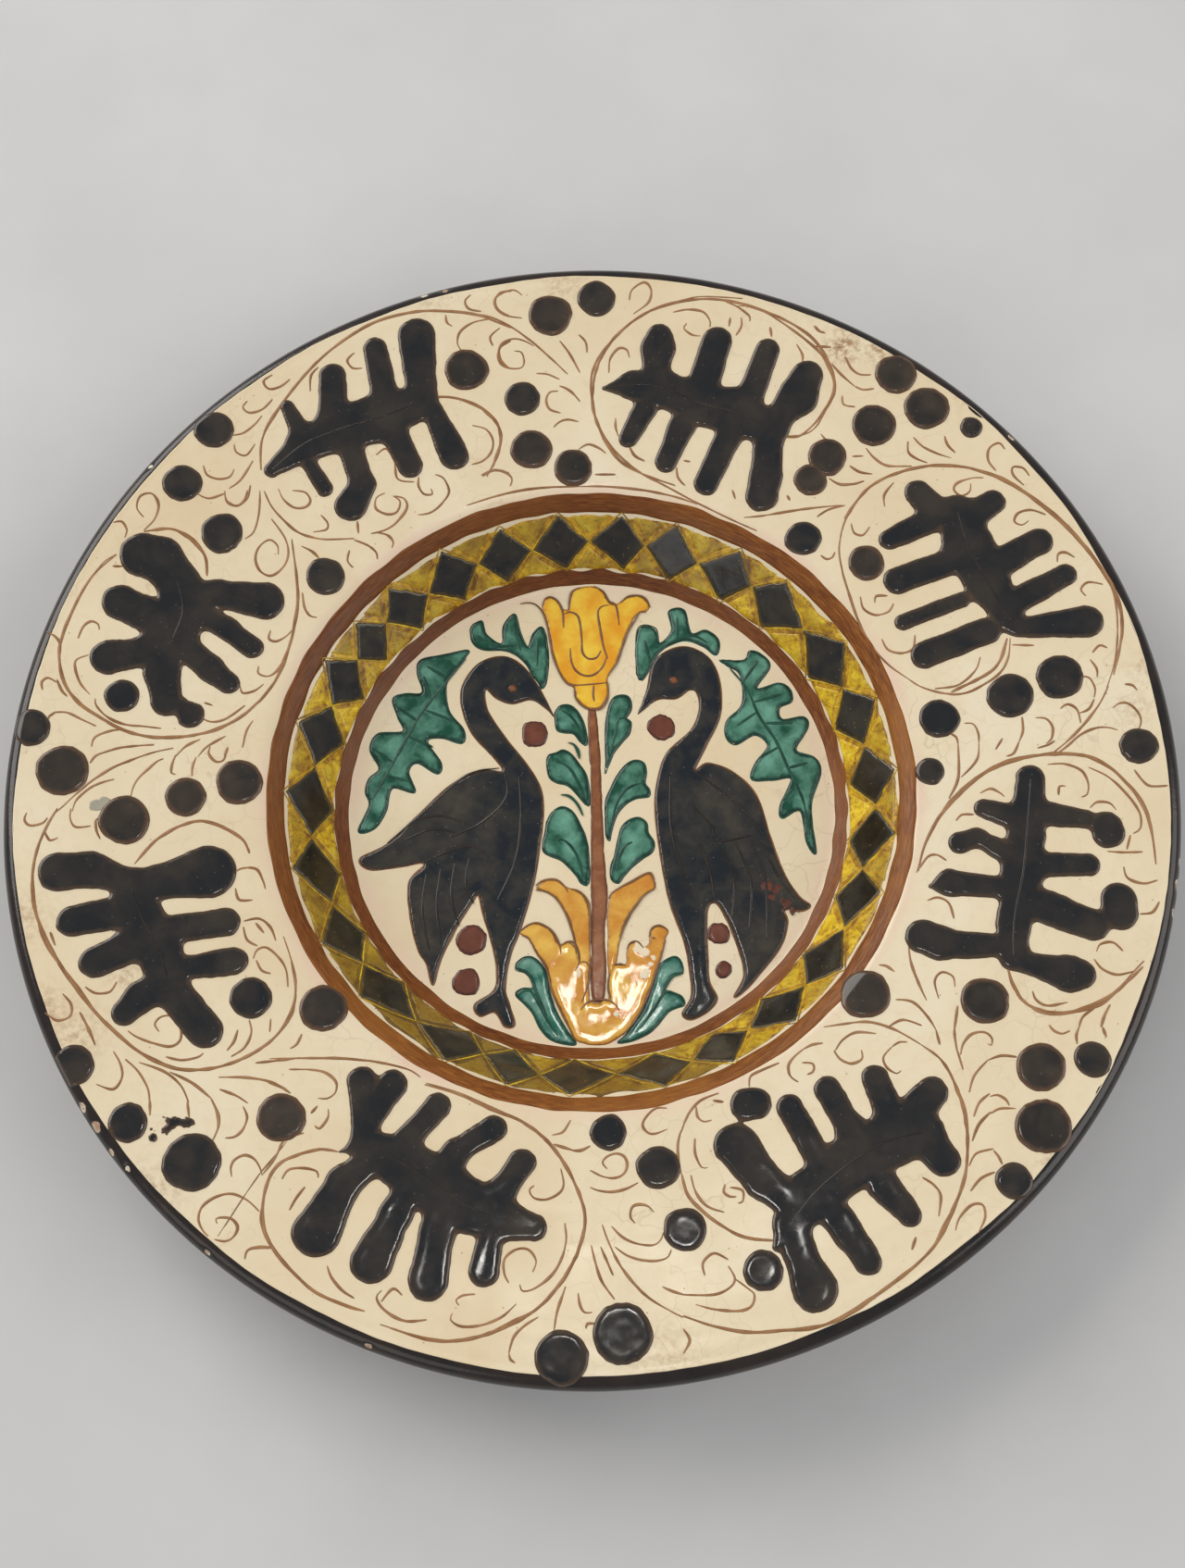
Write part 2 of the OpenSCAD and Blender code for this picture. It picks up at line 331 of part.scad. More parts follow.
// The medallion: two dark birds that face a tulip, with leaves and dots.
module left_bird() color("#20242a") on_floor() outline(LEFT_BIRD);
module right_bird() color("#20242a") on_floor() outline(RIGHT_BIRD);
module tulip_cup() color("#f0b232") on_floor() outline(TULIP);
module flower_stem() color("#8a4a30") on_floor(line_t) polygon(k * STEM);
module stem_leaves() color("#2f8f6c") on_floor() for (p = STEM_LEAVES) outline(p);
module base_petals() color("#f0a235") on_floor() clear_of() {
    merged(BASE_PETALS);
    polygon(k * STEM);
}
module base_leaves() color("#3f9a80") on_floor() clear_of() {
    merged(BASE_LEAVES);
    merged(BASE_PETALS);
}
module left_spray() color("#2a8c66") on_floor() clear_of() {
    merged(LEFT_SPRAY);
    outline(LEFT_BIRD);
}
module right_spray() color("#4fa58c") on_floor() clear_of() {
    merged(RIGHT_SPRAY);
    outline(RIGHT_BIRD);
}
module red_dots() color("#8c4030") on_floor() dots(RED_DOTS);
module merged(outlines) offset(delta = 0) for (p = outlines) outline(p);
module clear_of(gap = 0.4) offset(delta = 0) difference() {
    children(0);
    offset(delta = gap) children(1);
}

// The rim: dark leaves, dots and the thin vines that run round them.
module rim_leaf(i) color("#23282c") on_rim() brush(LEAVES[i - 1]);
module rim_dots() color("#262b2f") on_rim() dots(DOTS);
module scroll_vines() color("#a98450") on_rim(line_t, shoulder_r) clear_of() {
    for (p = VINES) line(p);
    union() {
        for (s = LEAVES) brush(s);
        dots(DOTS);
    }
}

foot_ring();
clay_well();
clay_rim();
cream_slip();
back_glaze();
outer_ring();
inner_ring();
checker_ground();
checker_diamonds();
left_bird();
right_bird();
tulip_cup();
flower_stem();
stem_leaves();
base_petals();
base_leaves();
left_spray();
right_spray();
red_dots();
rim_leaf(1);  // rim_leaf_1
rim_leaf(2);  // rim_leaf_2
rim_leaf(3);  // rim_leaf_3
rim_leaf(4);  // rim_leaf_4
rim_leaf(5);  // rim_leaf_5
rim_leaf(6);  // rim_leaf_6
rim_leaf(7);  // rim_leaf_7
rim_leaf(8);  // rim_leaf_8
rim_dots();
scroll_vines();
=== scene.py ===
import math

import bpy
import numpy as np
from mathutils import Matrix, Vector


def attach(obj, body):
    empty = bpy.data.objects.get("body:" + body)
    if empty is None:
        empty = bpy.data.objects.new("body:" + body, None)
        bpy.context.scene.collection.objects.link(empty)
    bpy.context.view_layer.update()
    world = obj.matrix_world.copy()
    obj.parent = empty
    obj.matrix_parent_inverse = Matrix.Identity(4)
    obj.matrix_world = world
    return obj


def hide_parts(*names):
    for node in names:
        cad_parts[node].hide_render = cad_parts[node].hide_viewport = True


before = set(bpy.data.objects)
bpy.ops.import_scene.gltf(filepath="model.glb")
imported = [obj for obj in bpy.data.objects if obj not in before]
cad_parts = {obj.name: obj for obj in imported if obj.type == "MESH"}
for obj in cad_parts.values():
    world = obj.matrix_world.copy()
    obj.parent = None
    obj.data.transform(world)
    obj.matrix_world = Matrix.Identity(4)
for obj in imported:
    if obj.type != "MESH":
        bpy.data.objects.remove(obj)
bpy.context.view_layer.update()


# The looks of a hand painted ceramic plate. Lengths are in mm in the row frame until
# Mesh.piece() writes them in metres. The outlines of the CAD's nodes are those in part.scad.
# Every row below is flat: x,y pairs, or x,y,radius where points() is told 3.
def points(row, wide=2):
    """A flat row of numbers as points."""
    return [tuple(row[i:i + wide]) for i in range(0, len(row), wide)]


# The rim's leaves, clockwise from the upper left, in brush strokes. The first is the midrib.
LEAVES = [[points(stroke, 3) for stroke in leaf] for leaf in [
    [[-115,118,3, -103.5,128.5,6.5, -90,135,9, -76.5,139.5,9, -63,145.5,7], [-110.5,142.5,2.5,
    -104,131,4.5], [-94.5,155,5, -94,138.5,5.5], [-79.5,166,4.5, -75.5,148.5,5], [-64.5,171.5,7,
    -62,148.5,5.5], [-50,125.5,5.5, -57.5,141.5,4], [-65.5,121,4.5, -71.5,133,5], [-86.5,105.5,6,
    -82.5,113.5,4.5, -86.5,125,4.5], [-96,111.5,3, -101.5,120.5,3]],
    [[4.5,151.5,1, 15,152.5,5.5, 25,151.5,7, 38.5,145.5,8, 51.5,141.5,9, 65,135,6.5], [24.5,171.5,5,
    24,167,6, 23,157.5,5], [45.5,169.5,5.5, 40.5,152.5,6], [64,165.5,4.5, 57,147,5], [78,155,6,
    74.5,147,7, 67,138.5,5], [13,132,3.5, 19,143,4.5], [26.5,123,4, 32.5,136.5,5], [41,114.5,4.5,
    49,131.5,5], [61,109.5,6, 62.5,116.5,5.5, 63.5,128.5,5.5]],
    [[130,100.5,7, 133.5,86.5,9, 139.5,73.5,7.5, 146,60,5], [116.5,108.5,5, 122,102,5.5],
    [142.5,104,4.5, 132.5,98,6], [106,91.5,4, 120,98,5], [108,76,5, 124.5,81.5,5], [109.5,60.5,3,
    130,68,3], [116.5,48,5, 138,56,5], [157.5,88.5,5, 145.5,82,5.5], [166,75.5,4, 148.5,66.5,5],
    [172,58,6, 148.5,56.5,3.5]],
    [[150,1.5,5, 147.5,-18.5,6, 145.5,-31.5,7, 141.5,-48.5,5.5, 140.5,-60.5,5], [167,-13.5,3.5,
    153.5,-10.5,4.5], [174.5,-18.5,5.5, 174,-16.5,5.5], [167,-29.5,4, 152.5,-29,4.5],
    [167,-50.5,5.5, 150.5,-43,6], [176,-46.5,6, 176,-42,6], [162.5,-67,4.5, 158.5,-67,6,
    145.5,-63,4], [134,-8.5,3.5, 143,-11.5,4.5], [125.5,-20.5,4, 131,-18.5,3, 140.5,-24.5,4],
    [115,-35.5,1, 121,-34.5,4.5, 137.5,-36.5,4], [111.5,-53,6, 117,-55.5,5.5, 136.5,-57,4]],
    [[108,-119,7, 96,-122,8.5, 84,-129,8.5, 72,-139,8.5, 64,-149,5], [111.5,-106,5.5, 104,-114,6],
    [93.5,-101,4.5, 97.5,-112,5], [114,-128,5.5, 108,-120,6.5], [102.5,-145.5,4, 94.5,-136,5.5],
    [88.5,-160,4.5, 80,-147,5.5], [71.5,-168.5,7.5, 67,-157,5, 66,-148,5], [48,-123,7.5, 56,-134,6,
    64,-141,5.5], [65.5,-110.5,4.5, 74,-127,4.5], [78,-104.5,4.5, 84.5,-117,4.5, 88,-124,5],
    [60,-155.5,1.5, 64,-149,5], [51.5,-109.5,5.5, 54,-109,5.5]],
    [[-73,-122,4.5, -62,-128,8, -49,-136,9.5, -38,-143,8.5, -28,-147,7], [-74.5,-102,5, -73,-118,4],
    [-64.5,-103,5, -72,-116,4], [-80.5,-125.5,0.5, -72,-123,4], [-49.5,-110,4.5, -58.5,-121,4,
    -62,-128,5], [-31,-117.5,4.5, -43,-125,4, -46,-131,5], [-21.5,-128.5,4.5, -28,-138,4.5,
    -34,-142,5], [-17.5,-149.5,4.5, -28.5,-147,7], [-33,-163.5,5, -31,-152,4], [-50.5,-166.5,6.5,
    -48.5,-152,5.5, -47,-140,5], [-68.5,-160.5,7, -61.5,-145,5, -57,-136,5], [-86.5,-151.5,8,
    -78.5,-135.5,5.5, -70,-128,5]],
    [[-154,-38,7, -150,-48,7, -144,-58,7.5, -140,-68,7], [-178.5,-32.5,7, -168,-31.5,6,
    -156,-35,4.5], [-129.5,-31,9.5, -145,-35,6, -152,-37,6], [-172.5,-49.5,5.5, -158,-46,6],
    [-164,-63.5,5.5, -152,-57,6], [-153,-80.5,4.5, -148,-74.5,5, -140,-71,5.5], [-126.5,-86,6,
    -138,-73,6], [-119,-62,5, -136,-65,4], [-122.5,-48.5,5, -142,-52,5]],
    [[-146,74,7, -143.5,64,8.5, -146.5,53,8.5], [-158.5,84,8.5, -153,83,8, -144,72.5,7],
    [-115.5,68.5,7, -131.5,70.5,5, -140,69,6], [-119,51,4, -128,57.5,4, -137,62,4.5],
    [-126.5,37.5,4, -133,42.5,4.5, -141,49,5], [-147.5,30,5.5, -149.5,41,6, -149,52,7],
    [-168,45.5,6.5, -158,47.5,5, -150,52,6], [-165.5,66,6.5, -157,62.5,6, -149,58,6.5],
    [-139,25.5,5, -142,28.5,3]]
]]
DOTS = points([
    -15.5,180,8, 1.5,186.5,7, -46,158.5,8, -25.5,147.5,6.5, -22,128,7.5, -7,121,7, -136.5,133,7,
    -146.5,112,7, -131.5,93.5,7.5, -94.5,78.5,7, -162.5,31.5,6, -192,18.5,6.5, -180.5,3.5,9,
    -158.5,-13.5,8.5, -138.5,-4.5,7, -121,1.5,8, -112.5,-74.5,7, -168,-98.5,7, -149,-117,6.5,
    -127.5,-129.5,9.5, -100,-114.5,8, -88.5,-77.5,8, -8,-190,8.5, 11,-182.5,9.5, 6.5,-118.5,6,
    22.5,-130,7, 31,-150,7, 55.5,-163,6.5, 91.5,-72.5,8.5, 130.5,-75.5,8, 147,-98,8, 163.5,-95.5,6,
    146.5,-117.5,9, 136,-135,6, 186.5,12,6.5, 120.5,24.5,7, 116.5,5.5,5, 145,32,8, 162,38,8,
    97.5,83,6.5, 75.5,93,6.5, 84.5,123.5,7, 78.5,115,6, 101.5,135,8, 110,154.5,7.5, 120.5,141,8,
    136,133,4
], 3)
# The main brush lines of the scrollwork.
VINES = [points(row) for row in [
    [-119,118, -119,130, -113,143, -100,161, -83,175, -68,180.5, -55,181.5, -42,180, -30,175],
    [-57,148, -48,147, -38,142, -33,133, -36,121], [68,132, 75,132, 83,140, 88,152, 80,170, 60,182,
    40,186, 20,181, 5,167, 0,150, 3,135, 12,122, 30,114], [90,100, 100,112, 115,118, 130,118.5,
    145,113, 160,102, 172,88, 182,70, 184,55, 180,38], [145,53, 140,42, 125,34], [111,-30, 114,-20,
    121,-8, 130,1, 142,8, 157,10, 172,8, 183,-3, 188,-15, 189,-30], [182,-65, 170,-75, 155,-80,
    143,-76, 138,-63], [59,-153.5, 50,-152.5, 43,-149, 37,-144.5, 32,-139, 30,-132], [109,-90,
    115,-95, 119,-103, 122,-116, 121,-131, 117,-142, 109,-156, 93,-169, 75,-179.5, 60,-181.5,
    50,-182, 39,-180, 30,-177], [-81,-125.5, -88,-125, -100,-130, -104,-142, -101,-155, -90,-167,
    -82,-172, -70,-176], [-54,-103, -43,-106, -32,-111, -22,-115, -13,-122, -5,-134, -1,-147,
    -5,-161, -16,-175, -32,-183, -47,-185, -62,-181], [-181,-10, -186,-23, -187,-36, -184,-49,
    -175,-65, -162,-81, -148,-93, -134,-99, -118,-97, -104,-88, -98,-75, -100,-61], [-154,-29,
    -146,-19, -133,-13, -120,-18, -116,-24], [-168,84, -176,75, -182,61, -185,47, -181,33, -169,23,
    -154,17, -137,18, -122,25, -111,38, -106,53, -104,70, -107,92], [-159,93, -148,94, -138,86,
    -136,77]
]]
# The medallion: birds, flower, leaves and dots.
LEFT_BIRD = points([
    -13.5,34.5, -19.5,46.5, -26,55, -33,58, -41.5,55, -47,46.5, -47,38, -43,28, -35.5,19.5, -32,14,
    -39.5,14, -50.5,8.5, -61.5,-2.5, -72.5,-13.5, -81.5,-18.5, -78.5,-22.5, -70,-22, -59,-20.5,
    -64,-27.5, -63,-40.5, -60,-51.5, -57,-56.5, -54.5,-64, -52,-55, -46.5,-43, -41.5,-34.5,
    -39.5,-32, -37.5,-39.5, -34.5,-49, -32.5,-59, -33.5,-66, -40,-71, -38,-75, -33,-73.5,
    -29.5,-78.5, -26,-78, -28,-71, -29.5,-65, -28,-54, -24.5,-44, -20,-27, -18,-12.5, -17,0,
    -18.5,8.5, -23.5,17, -30.5,26, -37.5,37, -38.5,45, -34.5,41.5, -29,39.5, -22,41, -17,38
])
RIGHT_BIRD = points([
    16.5,35.5, 19.5,44, 22,55, 28,60.5, 35.5,61.5, 43,56.5, 46.5,46.5, 46,34.5, 41,23.5, 37,14.5,
    41.5,17, 50.5,13.5, 58.5,5, 63,-10, 67.5,-23.5, 72.5,-32, 76.5,-35.5, 73.5,-37.5, 67.5,-37,
    68.5,-41.5, 66,-50, 60,-58, 54,-65, 49.5,-68, 53,-60, 50.5,-49, 46,-38, 43,-34.5, 40.5,-38,
    40.5,-53, 41,-62.5, 43.5,-68.5, 40.5,-73, 34.5,-76, 31.5,-74, 34.5,-68.5, 34.5,-61.5, 32.5,-49,
    27.5,-34.5, 24.5,-18.5, 22.5,-1, 23.5,11, 27,21, 35.5,29.5, 38.5,37, 38,43, 35.5,45, 30.5,41.5,
    23.5,41
])
TULIP = points([
    -1.5,37.5, -4,39.2, -6,42, -6.3,45.5, -9.5,47.5, -12.3,52, -14.5,59, -15.6,66, -17,72, -18.5,77,
    -17.6,80.6, -15.5,81.4, -13,80, -11,76.5, -9,76, -8.5,80, -7.5,83.5, -4.5,85, 0.5,85.4,
    3.8,83.4, 6,79.5, 8.5,78.6, 12.5,81.2, 17,81.8, 19.8,80, 21.2,77.2, 19.5,75.2, 17,75, 14.5,71,
    12.4,66.5, 10.6,60.5, 8.8,55, 5.8,50, 5.9,44, 5,40.3, 3,37.6
])
STEM = points([
    -1.5,37.5, 1,37.5, 2.8,25, 3.7,5, 4.3,-10, 5.3,-25, 6,-34, 5,-45, 5.5,-60, 4.5,-69, 0.5,-69,
    0,-55, 0,-35, -0.3,-20, -0.3,5, -1,22
])
STEM_LEAVES = [points(row) for row in [
    [-13.5,36, -12,38.5, -9.5,39.3, -7,38.5, -4.5,35.5, -2.4,30, -1.8,24, -4,25, -6.5,28, -10,28.5,
    -12.5,29.5, -13.3,33], [-16.2,18, -15.5,20, -12.5,21, -10.5,22, -8,21, -5.5,18, -2.5,13.5, -1,8,
    -0.9,1, -2,1.5, -5,5, -8.5,8.5, -12.5,9.5, -15,11.5, -16,15], [-16,-5, -14.5,-2, -12,0.2,
    -9.5,0.5, -6.5,-1.5, -4,-6, -2,-11, -1,-17, -0.9,-27.5, -3.5,-27.5, -5,-25, -8,-21.5, -11,-19,
    -16.5,-16.5, -17.2,-13, -16.5,-9], [5,18, 4.8,25, 5,32, 6,38, 7.5,41.5, 9.5,42.7, 12.5,42.6,
    14,40.5, 14,37, 12.3,34, 14,32.5, 13.5,28.5, 11,25, 8,21, 6,16, 4.8,13], [4.8,-3, 5,3, 7,8,
    9.5,13, 12.5,16.5, 15.5,18, 18.5,17, 19.5,13.5, 19,9.5, 20.5,7, 20.3,4.5, 16,3.7, 12,1.5,
    9,-2.5, 7,-9, 6.5,-12, 5.2,-10], [8,-18, 9.5,-11, 11,-6.5, 14,-4, 17,-3.5, 19.5,-5.5, 20,-9,
    22,-12.5, 21.5,-16, 18,-18.5, 14.5,-21.5, 11.5,-25, 9.5,-27.5, 7,-26, 6.8,-21.5]
]]
BASE_PETALS = [points(row) for row in [
    [-19.5,-29.5, -17,-26.8, -12.5,-26.3, -9.5,-28, -6.5,-29.6, -3,-31.5, -1,-35, 0,-43, 0,-58,
    -3,-60, -5,-55, -6,-47, -8.5,-39, -12,-33.5, -16,-30.8], [-25,-45.5, -22,-42.8, -18.5,-42,
    -14,-44.5, -11,-49.5, -8,-48.8, -5,-50.5, -4,-55, -1,-57, -0.5,-66, 0,-72, 2,-80, 0,-84,
    -5,-83.5, -9,-76, -13,-67, -15,-59, -18.5,-53, -22,-47.5], [6,-34, 9,-29.5, 14,-27, 20,-23.7,
    22,-26, 22.5,-29.3, 18.5,-32, 14,-38, 11.5,-43, 10,-49, 9,-56, 6,-60], [27,-44.5, 24,-42.7,
    21,-44, 20,-49, 17.5,-50.5, 15,-48.6, 12.5,-51, 12,-56.5, 8,-56.5, 6,-62, 6,-72, 4,-80, 6,-84,
    11,-81.5, 16,-75.5, 20,-67, 23,-58, 25,-52, 26,-48], [-3.5,-73, -1,-70, 3,-69, 7.5,-70, 10,-73,
    12,-78, 8,-83.5, 3,-85, -3,-84, -6,-79]
]]
BASE_LEAVES = [points(row) for row in [
    [-26,-56.3, -23.5,-54.2, -20.5,-54, -17.5,-56.2, -15.3,-60, -14,-67, -11.5,-74, -8,-80,
    -5,-84.5, -9,-84.5, -13.5,-83, -17,-79.5, -20.5,-73, -25.8,-67.5, -23.5,-65.2, -20,-65,
    -20.8,-61.8, -23,-59.7, -26,-58.8], [32,-59.8, 31.6,-56, 29.5,-53.8, 26,-55, 23,-58, 21,-64,
    19.5,-70, 16,-76.5, 12,-81.5, 9.5,-84, 14,-83.5, 19.5,-81, 23,-78, 26.5,-73.5, 29.5,-72,
    32.3,-70.8, 31.5,-68, 28.5,-66.5, 25.8,-66, 26.8,-62.8, 29,-60.5]
]]
LEFT_SPRAY = [points(row) for row in [
    [-44.5,69.5, -40.5,72, -38.5,66.5, -33,63, -32.5,70, -28.5,74.5, -26.5,68, -23.5,61.5, -21.5,67,
    -18,69, -16,58, -17,47, -20,46.5, -24,55, -31,60, -40,60.5, -44,64], [-45,60.5, -55,58.5,
    -62.5,56.5, -63.5,51.5, -61.5,44, -67.5,43.5, -72,41.5, -70,34.5, -68,29, -77,28, -79.5,22,
    -76,15, -79.5,11, -80.5,6, -79,1, -82.5,-8.5, -77,-7.5, -73,-1, -71,7.5, -63,6, -65.5,13.5,
    -62.5,17, -55,13, -54,17, -59,25, -54,26.5, -46.5,24.5, -46,29.5, -51.5,37, -52.5,48,
    -46.5,56.5]
]]
RIGHT_SPRAY = [points(row) for row in [
    [16,51, 16.5,68.5, 23,69, 24.5,63, 29,68, 28,75.5, 33.5,76, 36,67, 41.5,68, 46,64, 45,58.5,
    40,62, 33,64, 25,60, 20.5,52, 18,48.5], [46,56.5, 55,56.5, 57,60, 61,59, 64.5,54, 59.5,45.5,
    67.5,47.5, 71.5,45, 72,40.5, 67.5,38, 68.5,33.5, 76,34.5, 77.5,30.5, 73,22, 79.5,19, 81.5,13.5,
    78,2.5, 78,-6, 79,-16.5, 76,-12.5, 74,-1, 67.5,-3.5, 67,1, 71,11, 64,10.5, 57,11, 58.5,17,
    63,23.5, 58.5,27.5, 51.5,24, 48,27, 48.5,33, 54,39.5, 53.5,50.5, 49,54]
]]
RED_DOTS = points([
    -20.5,28,5, 25,30.5,5, -41.5,-48,5.5, -43,-63,5, 44.5,-45.5,4, 46,-58.5,3
], 3)
# The middles of the diamonds round the band, in degrees.
DIAMOND_ANGLES = [
    5, 18, 31.5, 48, 60.5, 73, 84.5, 97, 109, 121, 133.5, 143, 153.5, 165.5, 180.5, 196, 210, 224.5,
    242.5, 254, 266.5, 284, 296.5, 310, 325, 338.5, 351.5
]
